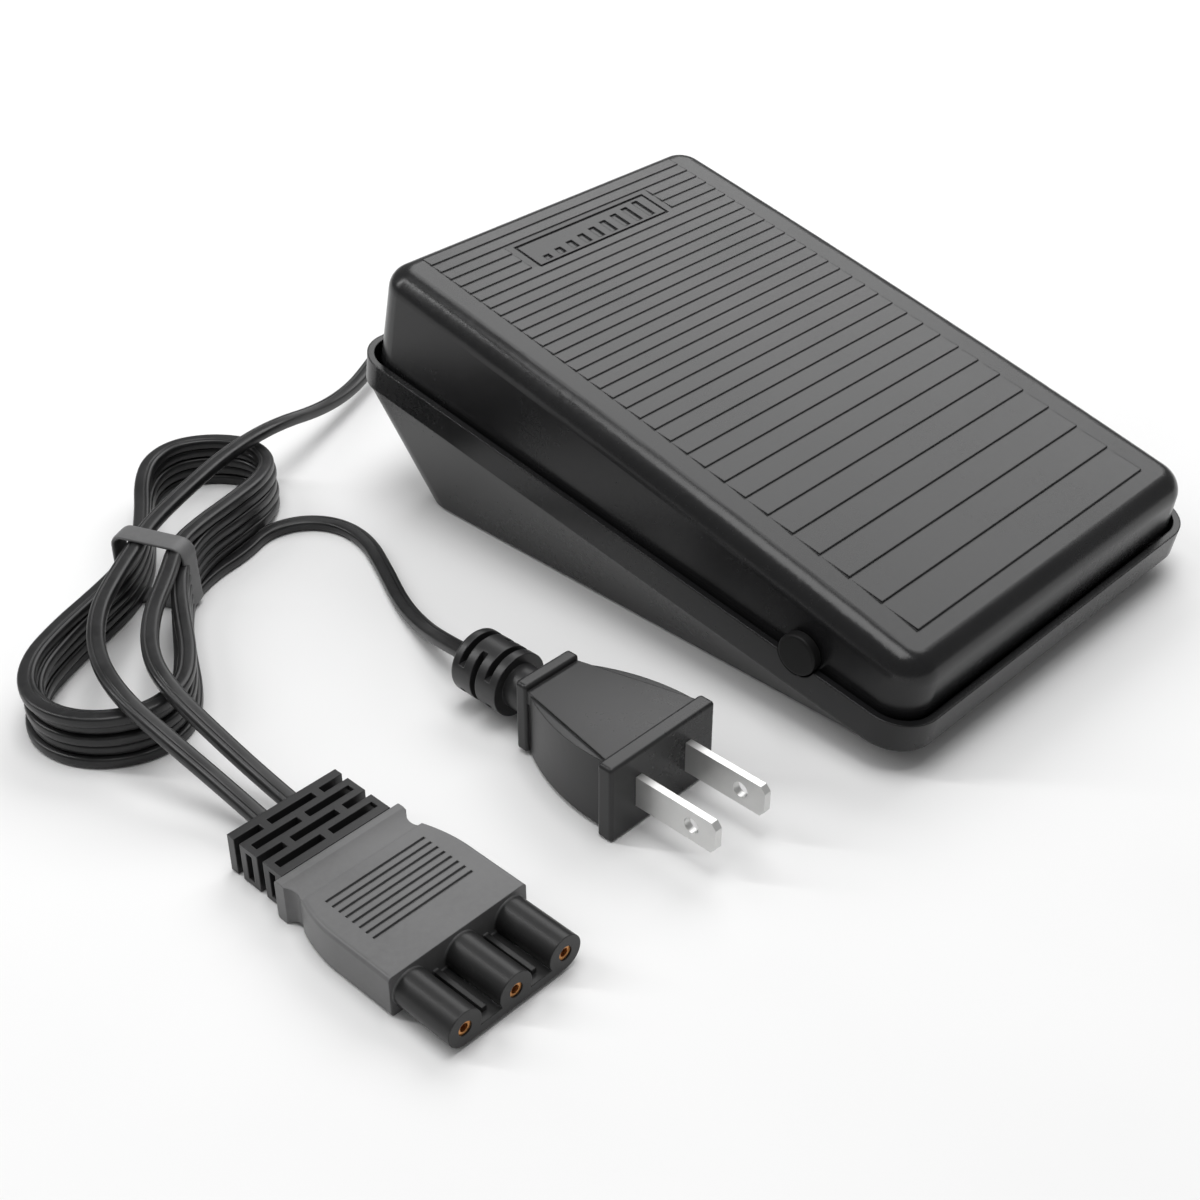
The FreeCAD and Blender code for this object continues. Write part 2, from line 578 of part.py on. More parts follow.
def lower_case():
    tub = tub_loft("tub_outer", "foot_height", "tub_width / 2", "tub_shift - tub_length / 2",
                   "tub_shift + tub_length / 2", "tub_corner", "tub_step")
    band = rim_block("rim_band", "0", "-band_height", "band_height")
    hollow = tub_loft("tub_hollow", "foot_height + tub_wall", "tub_width / 2 - tub_wall",
                      "tub_shift - tub_length / 2 + tub_wall", "tub_shift + tub_length / 2 - tub_wall",
                      "tub_corner - tub_wall", "rim_wall")
    mouth = rim_block("rim_mouth", "rim_wall", "-band_height", "band_height + 5")
    shell = cut("case_shell", fuse("case_solid", tub, band), hollow, mouth)
    floor = "foot_height + tub_wall"
    inner = [shell]
    for side, name in ((-1, "left"), (1, "right")):
        ends = sorted(("%d * lug_inner" % side, "%d * lug_outer" % side), key=value)
        middle = "%d * (lug_inner + lug_outer) / 2" % side
        inner.append(box("pin_lug_" + name, "lug_outer - lug_inner", "2 * lug_radius",
                         "hinge_z - foot_height - 1", middle, "hinge_y", "foot_height + 1"))
        inner.append(bar_x("pin_eye_" + name, "lug_radius", ends[0], ends[1], "hinge_y", "hinge_z"))
        inner.append(box("stop_catch_" + name, "hook_width + 2", "catch_reach", "2.2",
                         "%d * hook_x" % side, "catch_y + catch_reach / 2", "hook_foot + 2.3"))
    for number, (side_x, side_y) in enumerate(BOARD_CORNERS, 1):
        inner.append(post("board_post_%d" % number, "post_radius", "board_low - foot_height - 1",
                          "%d * post_x" % side_x, "%d * post_y" % side_y, "foot_height + 1"))
    inner.append(post("spring_step", "seat_radius", "spring_foot - foot_height - 1",
                      "0", "spring_y", "foot_height + 1"))
    inner.append(post("spring_pin", "guide_radius", "9 - foot_height - 1", "0", "spring_y",
                      "foot_height + 1"))
    inner.append(box("clamp_step", "17.5", "6", "12.8 - foot_height - 1", "11", CLAMP_Y, "foot_height + 1"))
    whole = fuse("case_whole", *inner)
    holes = [bar_x("case_pin_bore", "pin_radius", "-45", "45", "hinge_y", "hinge_z"),
             bar_x("cap_notch_left", "cap_radius + 0.3", "-52", "-46", "hinge_y", "hinge_z"),
             bar_x("cap_notch_right", "cap_radius + 0.3", "46", "52", "hinge_y", "hinge_z"),
             bar_y("gland_hole", "gland_radius", "60", "80", "gland_x", "gland_z")]
    for number, (side_x, side_y) in enumerate(BOARD_CORNERS, 1):
        holes.append(post("board_pilot_%d" % number, "screw_radius", "6", "%d * post_x" % side_x,
                          "%d * post_y" % side_y, "board_low - 5"))
    for number, (side, end) in enumerate(FEET, 1):
        holes.append(post("foot_recess_%d" % number, "foot_radius", "foot_sink",
                          "%d * foot_gap_x / 2" % side, end, "foot_height"))
    for number, x in enumerate(CLAMP_X, 1):
        holes.append(post("clamp_pilot_%d" % number, "screw_radius", "6", x, CLAMP_Y, "7.8"))
    return cut("lower_case", whole, *holes)


def rubber_feet():
    feet = [post("rubber_foot_%d" % number, "foot_radius", "foot_height + foot_sink",
                 "%d * foot_gap_x / 2" % side, end, "0") for number, (side, end) in enumerate(FEET, 1)]
    return group("rubber_feet", *feet)


# ------------------------------------------------------------------- hinge and spring
def hinge_pin():
    return bar_x("hinge_pin", "pin_radius", "-pin_length / 2", "pin_length / 2", "hinge_y", "hinge_z")


def hinge_caps():
    caps = []
    for side, name in ((-1, "left"), (1, "right")):
        ends = sorted(("%d * cap_inner" % side, "%d * cap_outer" % side), key=value)
        plain = bar_x("cap_disc_" + name, "cap_radius", ends[0], ends[1], "hinge_y", "hinge_z")
        outer_edge = 2 if side < 0 else 3
        disc = fillet("cap_round_" + name, plain, {outer_edge: (0.5, 0.5)})
        socket = bar_x("cap_socket_" + name, "pin_radius", "-pin_length / 2", "pin_length / 2",
                       "hinge_y", "hinge_z")
        caps.append(cut("hinge_cap_" + name, disc, socket))
    return group("hinge_caps", *caps)


def return_spring():
    helix = new("Part::Helix", "spring_path")
    rise = "(spring_head - spring_foot - 2 * spring_wire)"
    bind(helix, Radius="spring_radius", Pitch=rise + " / spring_turns", Height=rise)
    place(helix, "0", "spring_y", "spring_foot + spring_wire")
    wire = new("Part::Circle", "spring_wire_section")
    bind(wire, Radius="spring_wire")
    place(wire, "spring_radius", "spring_y", "spring_foot + spring_wire", "90", (1, 0, 0))
    sweep = new("Part::Sweep", "return_spring")
    sweep.Sections = [wire]
    sweep.Spine = (helix, ["Edge1"])
    sweep.Solid = True
    sweep.Frenet = True
    return sweep


# --------------------------------------------------------------------- speed control
def speed_plunger():
    rod = post("plunger_rod", "plunger_radius", "plunger_top - 1 - plunger_foot", "0", "plunger_y",
               "plunger_foot")
    head = post("plunger_disc", "plunger_head", "1.8", "0", "plunger_y", "plunger_top - 1.8")
    return fuse("speed_plunger", rod, head)


BOARD_TOP = "board_low + board_thick"


def speed_control():
    block = box("control_block", "13", "15", "control_top - board_low - board_thick", "0", "plunger_y",
                BOARD_TOP)
    well = post("control_well", "plunger_radius + 0.4", "12", "0", "plunger_y", "11.8")
    return cut("speed_control", block, well)


def circuit_board():
    plate = box("board_plate", "board_length", "board_depth", "board_thick", "0", "0", "board_low")
    holes = [post("board_hole_%d" % number, "screw_radius", "4", "%d * post_x" % side_x,
                  "%d * post_y" % side_y, "board_low - 1")
             for number, (side_x, side_y) in enumerate(BOARD_CORNERS, 1)]
    return cut("circuit_board", plate, *holes)


def screw(name, x, y, seat, reach):
    """A pan-head screw standing in its pilot hole."""
    shank = post(name + "_shank", "screw_radius", reach, x, y, "%s - (%s)" % (seat, reach))
    head = post(name + "_head", "screw_head", "1.7", x, y, seat)
    slot = box(name + "_slot", "4.4", "0.8", "1.2", x, y, "%s + 0.9" % seat)
    return cut(name, fuse(name + "_blank", shank, head), slot)


def board_screws():
    screws = [screw("board_screw_%d" % number, "%d * post_x" % side_x, "%d * post_y" % side_y,
                    BOARD_TOP, "6")
              for number, (side_x, side_y) in enumerate(BOARD_CORNERS, 1)]
    return group("board_screws", *screws)


def heat_sink():
    fin = box("sink_fin", "2", "26", "16", "-24", "2", BOARD_TOP)
    foot = box("sink_foot", "5", "26", "2", "-26.5", "2", BOARD_TOP)
    blank = fuse("sink_blank", fin, foot)
    hole = bar_x("sink_hole", "1.5", "-27", "-20", "2", "22.5")
    return cut("heat_sink", blank, hole)


def power_triac():
    pack = box("triac_pack", "4.4", "10", "9.5", "-20.8", "2", "13.5")
    tab = box("triac_tab", "1.3", "10", "15.5", "-22.35", "2", "13.5")
    legs = [box("triac_leg_%d" % step, "0.6", "0.8", "3.2", "-20.8", "%s" % (2 + 2.54 * (step - 2)),
                BOARD_TOP)
            for step in (1, 2, 3)]
    hole = bar_x("triac_hole", "1.5", "-27", "-20", "2", "26.3")
    return cut("power_triac", fuse("triac_blank", pack, tab, *legs), hole)


def suppression_capacitor():
    return box("suppression_capacitor", "17", "8", "13", "19.5", "8", BOARD_TOP)


def choke():
    core = post("choke_bobbin_core", "4", "11", "19", "-12", BOARD_TOP)
    low = post("choke_bobbin_low", "7", "1.2", "19", "-12", BOARD_TOP)
    high = post("choke_bobbin_high", "7", "1.2", "19", "-12", BOARD_TOP + " + 9.8")
    bobbin = fuse("choke_bobbin", core, low, high)
    ring = post("winding_ring", "6.3", "8.6", "19", "-12", BOARD_TOP + " + 1.2")
    hole = post("winding_hole", "4", "12", "19", "-12", BOARD_TOP)
    return [bobbin, cut("choke_winding", ring, hole)]


def resistors():
    bars = [bar_x("resistor_%d" % step, "1.2", "-9", "-2", "%s" % (-12 - 4 * step), BOARD_TOP + " + 1.2")
            for step in (0, 1, 2)]
    return group("resistors", *bars)


def terminal_block():
    block = box("terminal_housing", "11", "7", "7", "12", "20.5", BOARD_TOP)
    wells = [post("terminal_well_%d" % step, "1.7", "4", "%s" % x, "20.5", BOARD_TOP + " + 4")
             for step, x in ((1, 9.4), (2, 14.6))]
    return cut("terminal_block", block, *wells)


# --------------------------------------------------------------------- cords and tubes
def smooth_path(points, closed=False, largest=None):
    """Straight runs joined by tangent arcs, each as large as its two runs allow."""
    points = [Vector(*point) for point in points]
    count = len(points)
    corners = range(count) if closed else range(1, count - 1)
    bends = {}
    for step in corners:
        before, here, after = points[step - 1], points[step], points[(step + 1) % count]
        into, out = here - before, after - here
        turn = into.getAngle(out)
        tangent = 0.45 * min(into.Length, out.Length)
        radius = tangent / math.tan(turn / 2)
        start = here - into.normalize() * tangent
        end = here + out.normalize() * tangent
        middle_way = ((start - here) + (end - here)).normalize()
        middle = here + middle_way * (radius / math.cos(turn / 2) - radius)
        bends[step] = (start, middle, end, radius)
    edges = []
    for step in range(count if closed else count - 1):
        following = (step + 1) % count
        start = bends[step][2] if step in bends else points[step]
        end = bends[following][0] if following in bends else points[following]
        edges.append(Part.LineSegment(start, end).toShape())
        if following in bends:
            first, middle, last, radius = bends[following]
            edges.append(Part.Arc(first, middle, last).toShape())
    return Part.Wire(edges), [bend[3] for bend in bends.values()]


def cord_tube(name, points, radius):
    """A round tube along a route; prints its bend radii and its volume against the ideal."""
    path, radii = smooth_path(points)
    start = path.Edges[0].Curve.value(path.Edges[0].FirstParameter)
    way = (Vector(*points[1]) - Vector(*points[0])).normalize()
    ring = Part.Wire([Part.Circle(start, way, radius).toShape()])
    tube = path.makePipeShell([ring], True, False)
    ideal = math.pi * radius ** 2 * path.Length
    print("%s: length %.1f, radii %s, volume ratio %.4f" % (
        name, path.Length, [round(r, 1) for r in radii], tube.Volume / ideal))
    return made(name, tube)


PEDAL_LEAD = [(8, 90, 17), (7.9, 98.6, 15.9), (5.4, 106.4, 13.3), (-0.4, 111.6, 9.9), (-8.3, 112.6, 7.0),
              (-16.5, 109.1, 5.3), (-27.2, 103.8, 4.7), (-41.2, 97.9, 7.0), (-59.8, 90.6, 13.5),
              (-74.4, 87.6, 13.9), (-89, 82.0, 13.9), (-102, 76.6, 13.6), (-109, 71.79, 13.56)]
LINK_LEAD_LEFT = [(-109, 71.79, 13.56), (-118, 65.6, 13.5), (-127.8, 57.5, 13.8), (-136.0, 45.5, 14.4),
                  (-140.4, 31.5, 15.0), (-139.4, 18.5, 11.6), (-136.8, 6.5, 6.0), (-136.6, -5.0, 4.15)]
LINK_LEAD_RIGHT = [(-103.2, 66.5, 13.1), (-111.4, 58.0, 13.6), (-122.0, 48.4, 14.2), (-130.2, 36.6, 14.9),
                   (-132.8, 25.6, 13.9), (-131.8, 14.0, 9.6), (-130.4, 4.0, 5.4), (-130.2, -5.0, 4.15)]
PLUG_LEAD = [(-85.5, 70.0, 1.75), (-77.6, 73.2, 1.75), (-69.4, 71.0, 1.75), (-64.4, 64.2, 1.75),
             (-64.4, 54.6, 1.75), (-69.2, 43.5, 1.75), (-75.0, 31.6, 1.75), (-78.4, 21.6, 2.6),
             (-81.6, 11.4, 5.8), (-83.1, 1.0, 8.1)]
HANK_LOOP = [(-121.5, 67.2), (-133.0, 62.6), (-142.6, 57.4), (-148.3, 49.4), (-148.2, 40.4), (-143.0, 33.0),
             (-135.2, 29.6), (-127.4, 31.8), (-121.4, 38.8), (-115.4, 48.6), (-109.8, 57.2), (-103.6, 64.8),
             (-95.0, 70.2), (-84.0, 73.2), (-73.6, 77.4), (-66.8, 83.6), (-65.4, 92.2), (-70.0, 99.6),
             (-77.4, 104.0), (-85.4, 102.2), (-92.2, 95.2), (-98.2, 86.0), (-105.0, 77.0), (-112.6, 71.2)]


def cord_hank():
    """Five stacked turns, tied at the waist, as one upright ribbon round the loop."""
    path, radii = smooth_path([(x, y, 0) for x, y in HANK_LOOP], closed=True)
    print("cord_hank: one turn %.1f, radii %s" % (path.Length, [round(r, 1) for r in radii]))
    half = size("cord_radius")
    rims = (path.makeOffset2D(half), path.makeOffset2D(-half))
    outer, inner = sorted(rims, key=lambda wire: -wire.Length)
    ring = Part.Face(outer).cut(Part.Face(inner))
    ribbon = ring.Faces[0].extrude(Vector(0, 0, size("hank_height")))
    return made("cord_hank", ribbon)


def cord_tie():
    """A flat strap round the waist of the hank and the leads that cross it."""
    outer = box("tie_outer", "tie_span + 2 * tie_thick", "tie_width", "tie_height")
    inner = box("tie_inner", "tie_span", "tie_width + 2", "tie_height - 2 * tie_thick", "0", "0",
                "tie_thick")
    strap = cut("cord_tie", outer, inner)
    return place(strap, "tie_x", "tie_y", "0", "tie_turn")


def strain_relief():
    collar = bar_y("gland_collar", "gland_radius + 1.5", "60.6", "63", "gland_x", "gland_z")
    neck = bar_y("gland_neck", "gland_radius", "62", "74", "gland_x", "gland_z")
    tail = cone_y("gland_tail", "gland_radius", "gland_tip", "74", "gland_end", "gland_x", "gland_z")
    return fuse("strain_relief", collar, neck, tail)


def inner_leads():
    """Two insulated wires from the gland, under the clamp, to the terminal block."""
    tubes = []
    for step, offset in enumerate((-1.4, 1.4)):
        end = (12 + offset * 1.86, 24.0, 13.8)
        route = [(8 + offset, 60.5, 16.6), (11 + offset * 0.6, 57.6, 15.6), (11 + offset, 53.4, 14.0),
                 (11.6 + offset, 46, 14.0), (11.8 + offset, 37, 13.8), (12 + offset * 1.5, 30, 13.8), end]
        tubes.append(cord_tube("inner_lead_%d" % (step + 1), route, 1.1))
    return group("inner_leads", *tubes)


def cord_clamp():
    plate = box("clamp_plate", "17.5", "5", "2.2", "11", CLAMP_Y, "15.4")
    holes = [post("clamp_hole_%d" % number, "screw_radius", "4", x, CLAMP_Y, "15")
             for number, x in enumerate(CLAMP_X, 1)]
    return cut("cord_clamp", plate, *holes)


def clamp_screws():
    screws = [screw("clamp_screw_%d" % number, x, CLAMP_Y, "17.6", "9")
              for number, x in enumerate(CLAMP_X, 1)]
    return group("clamp_screws", *screws)


# ------------------------------------------------------------------ machine connector
def connector_form():
    """What the outline seen from above and the outline seen from the side have in common."""
    thick, front, rear = size("link_thick"), size("link_front"), size("link_rear")
    lip, waist, half = size("lip_width") / 2, size("waist_width") / 2, size("link_width") / 2
    back, middle, dip = size("lip_rear"), size("waist_y"), size("waist_dip")
    shoulder = rear - size("link_sweep")

    def plan(across, along):
        return Vector(size("link_x") + across, along, 0)

    def side(along, up):
        return Vector(0, along, up)

    top = bent_face(
        plan(-lip, back), (plan(lip, back),), (plan(lip, back - 2.4),),
        (plan(waist, middle), plan(waist + 0.8, rear + 0.6)),
        (plan(half - 0.7, rear - 3.2), plan(half, shoulder)), (plan(half, front),), (plan(-half, front),),
        (plan(-half, shoulder),), (plan(0.7 - half, rear - 3.2), plan(-waist - 0.8, rear + 0.6)),
        (plan(-waist, middle), plan(-lip, back - 2.4)))
    profile = bent_face(
        side(back, 0.7), (side(back, thick - 0.7),),
        (side(back - 0.2, thick - 0.2), side(back - 0.7, thick)), (side(back - 1.8, thick),),
        (side(middle + 0.8, thick - dip * 0.7), side(middle - 1.4, thick - dip)),
        (side(rear, thick),), (side(front, thick),), (side(front, 0),), (side(rear, 0),),
        (side(middle - 1.4, dip),), (side(middle + 0.8, dip * 0.7), side(back - 1.8, 0)),
        (side(back - 0.7, 0),), (side(back - 0.2, 0.2), side(back, 0.7)))
    above = top.extrude(Vector(0, 0, thick))
    beside = profile.extrude(Vector(size("link_width") + 4, 0, 0))
    beside.translate(Vector(size("link_x") - size("link_width") / 2 - 2, 0, 0))
    return above.common(beside)


def connector_body():
    half = size("link_width") / 2
    form = made("link_form", connector_form())
    long_edges = {}
    for number, edge in enumerate(form.Shape.Edges, 1):
        box_of = edge.BoundBox
        beside_x = abs(abs(box_of.XMin - size("link_x")) - half) < 0.01 and box_of.XLength < 0.01
        if beside_x and box_of.YLength > 5:
            long_edges[number] = (0.8, 0.8)
    rounded = fillet("link_rounded", form, long_edges)
    reach = "link_front + 1 - tube_end"
    tubes = [bar_y("socket_tube_%d" % (step + 2), "tube_radius", "tube_end", "link_front + 1",
                   "link_x + %d * link_pitch" % step, "link_thick / 2") for step in (-1, 0, 1)]
    web = box("socket_web", "2 * link_pitch", reach, "1.8",
              "link_x", "(link_front + 1 + tube_end) / 2", "link_thick / 2 - tube_radius")
    ribs = [box("socket_rib_%d" % number, "1", reach + " - 1.6", "1.6", "link_x + %s * link_pitch" % offset,
                "(link_front + 1 + tube_end + 1.6) / 2", "link_thick / 2 - tube_radius + 1.2")
            for number, offset in ((1, "-0.5"), (2, "0.5"))]
    wells = [bar_y("socket_well_%d" % (step + 2), "contact_radius", "tube_end - 1", "tube_end + 10",
                   "link_x + %d * link_pitch" % step, "link_thick / 2") for step in (-1, 0, 1)]
    grips = [box("grip_groove_%d" % step, "grip_width", "grip_groove", "1", "link_x",
                 "link_rear - 3 - grip_pitch * %d" % step, "link_thick - 0.5") for step in range(8)]
    return cut("connector_body", fuse("link_whole", rounded, web, *(ribs + tubes)), *(wells + grips))


def connector_boot():
    """The flexible rear of the connector: ribs with staggered slots."""
    block = box("link_boot_block", "link_boot_width", "link_boot_end + 19.5", "link_thick - 0.5",
                "link_x", "(link_boot_end - 19.5) / 2", "0.25")
    slots = []
    for row in range(4):
        y = "link_boot_end - 2.6 - link_gap_pitch * %d" % row
        for number in (-1, 0, 1):
            across = number + 0.5 * (row % 2)
            if across < 1.1:
                for side, z in (("over", "link_thick - link_gap_deep - 0.2"), ("under", "0")):
                    slots.append(box("boot_%s_%d_%d" % (side, row, number + 2), "link_gap_length",
                                     "link_slot", "link_gap_deep", "link_x + link_gap_step * %s" % across,
                                     y, z))
        for side in (-1, 1):
            slots.append(box("boot_side_%d_%d" % (row, side + 1), "3", "link_slot", "link_thick - 2.6",
                             "link_x + %d * link_boot_width / 2" % side, y, "1.3"))
    return cut("connector_boot", block, *slots)


def socket_contacts():
    """Brass sleeves inside the three socket tubes."""
    sleeves = []
    for step in (-1, 0, 1):
        x = "link_x + %d * link_pitch" % step
        rod = bar_y("contact_rod_%d" % (step + 2), "contact_radius", "tube_end + 0.3", "tube_end + 10",
                    x, "link_thick / 2")
        hole = bar_y("contact_bore_%d" % (step + 2), "0.8", "tube_end", "tube_end + 9", x, "link_thick / 2")
        sleeves.append(cut("contact_%d" % (step + 2), rod, hole))
    return group("socket_contacts", *sleeves)


# --------------------------------------------------------------------------- wall plug
def plug_ends():
    """Y where the plug's body starts, inside the rear flange, and Y of its flat top's front."""
    tuck = size("flange_tuck")
    return size("rear_y") - size("rear_thick") + tuck, size("plug_face") + tuck


def plug_slab(name, outline, low, below, end):
    """A plan outline raised from low to a given depth below the plug's sloping top."""
    start, lip = plug_ends()
    slope = (size("plug_height") - size("rear_top")) / (start - lip)
    high = size("rear_top") - below

    def side(along, up):
        return Vector(size("plug_x") - size("front_width") / 2, along, up)

    profile = bent_face(side(start, low), (side(start, high),), (side(end, high + slope * (start - end)),),
                        (side(end, low),))
    upright = profile.extrude(Vector(size("front_width"), 0, 0))
    return made(name, outline.extrude(Vector(0, 0, size("plug_height"))).common(upright))


def plug_body():
    """A moulded plug: rear flange, a body that swells forward under a flat top, and a front flange."""
    rear_block = box("plug_rear_block", "rear_width", "rear_thick", "rear_height", "plug_x",
                     "rear_y - rear_thick / 2", "rear_foot")
    front_block = box("plug_front_block", "front_width", "front_thick", "plug_height", "plug_x",
                      "plug_face + front_thick / 2")
    rear = rounded_block("plug_rear_flange", rear_block, size("flange_round"))
    front = rounded_block("plug_front_flange", front_block, size("flange_round"))
    start, lip = plug_ends()
    end = size("plug_face") + size("front_thick") - size("flange_tuck")
    swollen = start - size("belly_swell")
    slim, middle, wide = size("belly_rear"), size("belly_middle"), size("belly_front")

    def plan(across, along):
        return Vector(size("plug_x") + across, along, 0)

    belly = bent_face(plan(-slim, start), (plan(slim, start),), (plan(middle, swollen), plan(wide, end)),
                      (plan(-wide, end),), (plan(-middle, swollen), plan(-slim, start)))
    lid = bent_face(plan(-size("lid_rear"), start), (plan(size("lid_rear"), start),),
                    (plan(size("lid_front"), lip),), (plan(-size("lid_front"), lip),))
    swell = plug_slab("plug_swell", belly, size("belly_foot"), size("belly_step"), end)
    top = plug_slab("plug_top", lid, size("lid_foot"), 0.0, lip)
    return fuse("plug_body", rear, front, swell, top)


def plug_boot():
    """A round boot with three gaps that part way round it are bridged."""
    barrel = bar_y("plug_barrel", "boot_radius", "-11", "boot_end", "plug_x", "plug_z")
    rounded = fillet("plug_barrel_round", barrel, {1: (1.3, 1.3), 3: (0.8, 0.8)})
    neck = bar_y("plug_neck", "boot_neck", "rear_y", "-10", "plug_x", "plug_z")
    slots = []
    for step, (bridge_x, bridge_z) in enumerate(((6.6, 0), (0, 6.6), (6.6, 0))):
        y = "boot_end - 2.7 - boot_pitch * %d" % step
        ring = bar_y("boot_ring_%d" % step, "boot_radius + 1.6", y + " - boot_gap / 2",
                     y + " + boot_gap / 2", "plug_x", "plug_z")
        core = bar_y("boot_core_%d" % step, "boot_core", y + " - 1", y + " + 1", "plug_x", "plug_z")
        bridges = [box("boot_bridge_%d_%d" % (step, side + 1), "5.2", "3", "5.2",
                       "plug_x + %s" % (side * bridge_x), y, "plug_z - 2.6 + %s" % (side * bridge_z))
                   for side in (-1, 1)]
        slots.append(cut("boot_gap_%d" % step, ring, core, *bridges))
    return cut("plug_boot", fuse("plug_boot_blank", rounded, neck), *slots)


def plug_blades():
    blades = []
    for side, name in ((-1, "near"), (1, "far")):
        x = "plug_x + %d * blade_gap / 2" % side
        low, high = "plug_z - blade_height / 2", "plug_z + blade_height / 2"
        tip = "plug_face - blade_length"
        strip = padded("blade_strip_" + name, "YZ_Plane", "blade_thick", "%s - blade_thick / 2" % x,
                       lambda sketch: outline(sketch, [("plug_face", low), ("plug_face", high),
                                                       ("%s + 1" % tip, high), (tip, high + " - 1.2"),
                                                       (tip, low + " + 1.2"), ("%s + 1" % tip, low)]))
        hole = bar_x("blade_eye_" + name, "blade_hole", "%s - 2" % x, "%s + 2" % x, "plug_face - 12.6",
                     "plug_z")
        blades.append(cut("plug_blade_" + name, strip, hole))
    return group("plug_blades", *blades)


# ------------------------------------------------------------------------ build and write
bobbin, winding = choke()
cord = size("cord_radius")
PARTS = [treadle_cover(), lower_case(), rubber_feet(), hinge_pin(), hinge_caps(), return_spring(),
         speed_plunger(), speed_control(), circuit_board(), board_screws(), heat_sink(), power_triac(),
         suppression_capacitor(), bobbin, winding, resistors(), terminal_block(), inner_leads(),
         cord_clamp(), clamp_screws(), strain_relief(), cord_tube("pedal_lead", PEDAL_LEAD, cord),
         cord_tube("connector_lead_left", LINK_LEAD_LEFT, cord),
         cord_tube("connector_lead_right", LINK_LEAD_RIGHT, cord), cord_tube("plug_lead", PLUG_LEAD, cord),
         cord_hank(), cord_tie(), connector_body(), connector_boot(), socket_contacts(),
         plug_body(), plug_boot(), plug_blades()]

doc.recompute()
failed = [obj.Label for obj in doc.Objects if "Invalid" in obj.State or "Error" in obj.State]
if failed:
    raise RuntimeError("objects that did not build: %s" % failed)
for part in PARTS:
    if part.Shape.isNull() or not part.Shape.isValid() or not part.Shape.Solids:
        raise RuntimeError("no valid solid: %s" % part.Label)

os.makedirs("parts", exist_ok=True)
for part in PARTS:
    part.Shape.exportStep("parts/%s.step" % part.Label)
    print("%-24s %d solid(s) %10.1f mm3" % (part.Label, len(part.Shape.Solids), part.Shape.Volume))
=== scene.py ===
import math

import bmesh
import bpy
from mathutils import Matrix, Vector


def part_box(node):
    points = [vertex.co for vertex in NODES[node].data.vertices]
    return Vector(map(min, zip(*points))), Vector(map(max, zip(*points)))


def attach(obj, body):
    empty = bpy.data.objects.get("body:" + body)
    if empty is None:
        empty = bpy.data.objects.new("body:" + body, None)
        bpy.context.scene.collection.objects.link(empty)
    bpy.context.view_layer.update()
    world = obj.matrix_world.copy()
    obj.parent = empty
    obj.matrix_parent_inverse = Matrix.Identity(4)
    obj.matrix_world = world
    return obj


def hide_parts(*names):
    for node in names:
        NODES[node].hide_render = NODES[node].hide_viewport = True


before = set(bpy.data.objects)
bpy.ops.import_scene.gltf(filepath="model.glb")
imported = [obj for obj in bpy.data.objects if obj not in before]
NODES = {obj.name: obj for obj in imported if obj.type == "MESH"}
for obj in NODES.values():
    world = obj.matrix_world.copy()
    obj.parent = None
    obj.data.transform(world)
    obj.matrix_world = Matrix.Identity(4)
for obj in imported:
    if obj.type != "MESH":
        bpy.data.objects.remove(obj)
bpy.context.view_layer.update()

# Sewing machine pedal: its materials, cords, cord tie, light and camera.
# Everything is in metres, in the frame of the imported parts; MM turns millimetres into metres.
MM = 0.001
SCENE = bpy.context.scene


# ------------------------------------------------------------------------------ camera
CAMERA_PLACE = (-267.5 * MM, -208.0 * MM, 215.8 * MM)
CAMERA_YAW = math.radians(46.26)
CAMERA_PITCH = math.radians(35.0)
CAMERA_LENS = 55.34


def make_camera():
    """The camera stands to the left of the low end and looks down across the treadle."""
    data = bpy.data.cameras.new("camera")
    data.sensor_width = 36.0
    data.lens = CAMERA_LENS
    camera = bpy.data.objects.new("camera", data)
    ahead = Vector((math.sin(CAMERA_YAW) * math.cos(CAMERA_PITCH),
                    math.cos(CAMERA_YAW) * math.cos(CAMERA_PITCH), -math.sin(CAMERA_PITCH)))
    camera.location = CAMERA_PLACE
    camera.rotation_euler = ahead.to_track_quat("-Z", "Y").to_euler()
    SCENE.collection.objects.link(camera)
    SCENE.camera = camera


# --------------------------------------------------------------------- material helpers
# How far the painted shade darkens a piece's colour, and over how many millimetres it fades in.
PAINTED_SHADE_SHARE = 0.14
PAINTED_SHADE_STEP = 0.2


def new_material(name):
    """An empty node material and its tree."""
    made = bpy.data.materials.new(name)
    made.use_nodes = True
    made.node_tree.nodes.clear()
    return made, made.node_tree


def add(tree, kind, inputs=(), **settings):
    """A shader node; inputs pairs a socket's name or number with a value or another socket."""
    made = tree.nodes.new("ShaderNode" + kind)
    for key, value in settings.items():
        setattr(made, key, value)
    for socket, source in dict(inputs).items():
        if isinstance(source, bpy.types.NodeSocket):
            tree.links.new(source, made.inputs[socket])
        else:
            made.inputs[socket].default_value = source
    return made


def noise(tree, place, size_mm, detail=2.0, rough=0.5, stretch=(1, 1, 1)):
    """Noise whose features are about size_mm wide, drawn out along the axes with a small stretch."""
    mapped = add(tree, "Mapping", {"Vector": place, "Scale": stretch}).outputs["Vector"]
    made = add(tree, "TexNoise", {"Vector": mapped, "Scale": 1 / (size_mm * MM), "Detail": detail,
                                  "Roughness": rough})
    return made.outputs["Fac"]


def ramp(tree, source, low, high, to_low=0.0, to_high=1.0):
    """Map low..high onto to_low..to_high, clamped."""
    made = add(tree, "MapRange", {"Value": source, "From Min": low, "From Max": high,
                                  "To Min": to_low, "To Max": to_high})
    return made.outputs["Result"]


def times(tree, first, second):
    return add(tree, "Math", {0: first, 1: second}, operation="MULTIPLY").outputs["Value"]


def plus(tree, first, second):
    return add(tree, "Math", {0: first, 1: second}, operation="ADD").outputs["Value"]


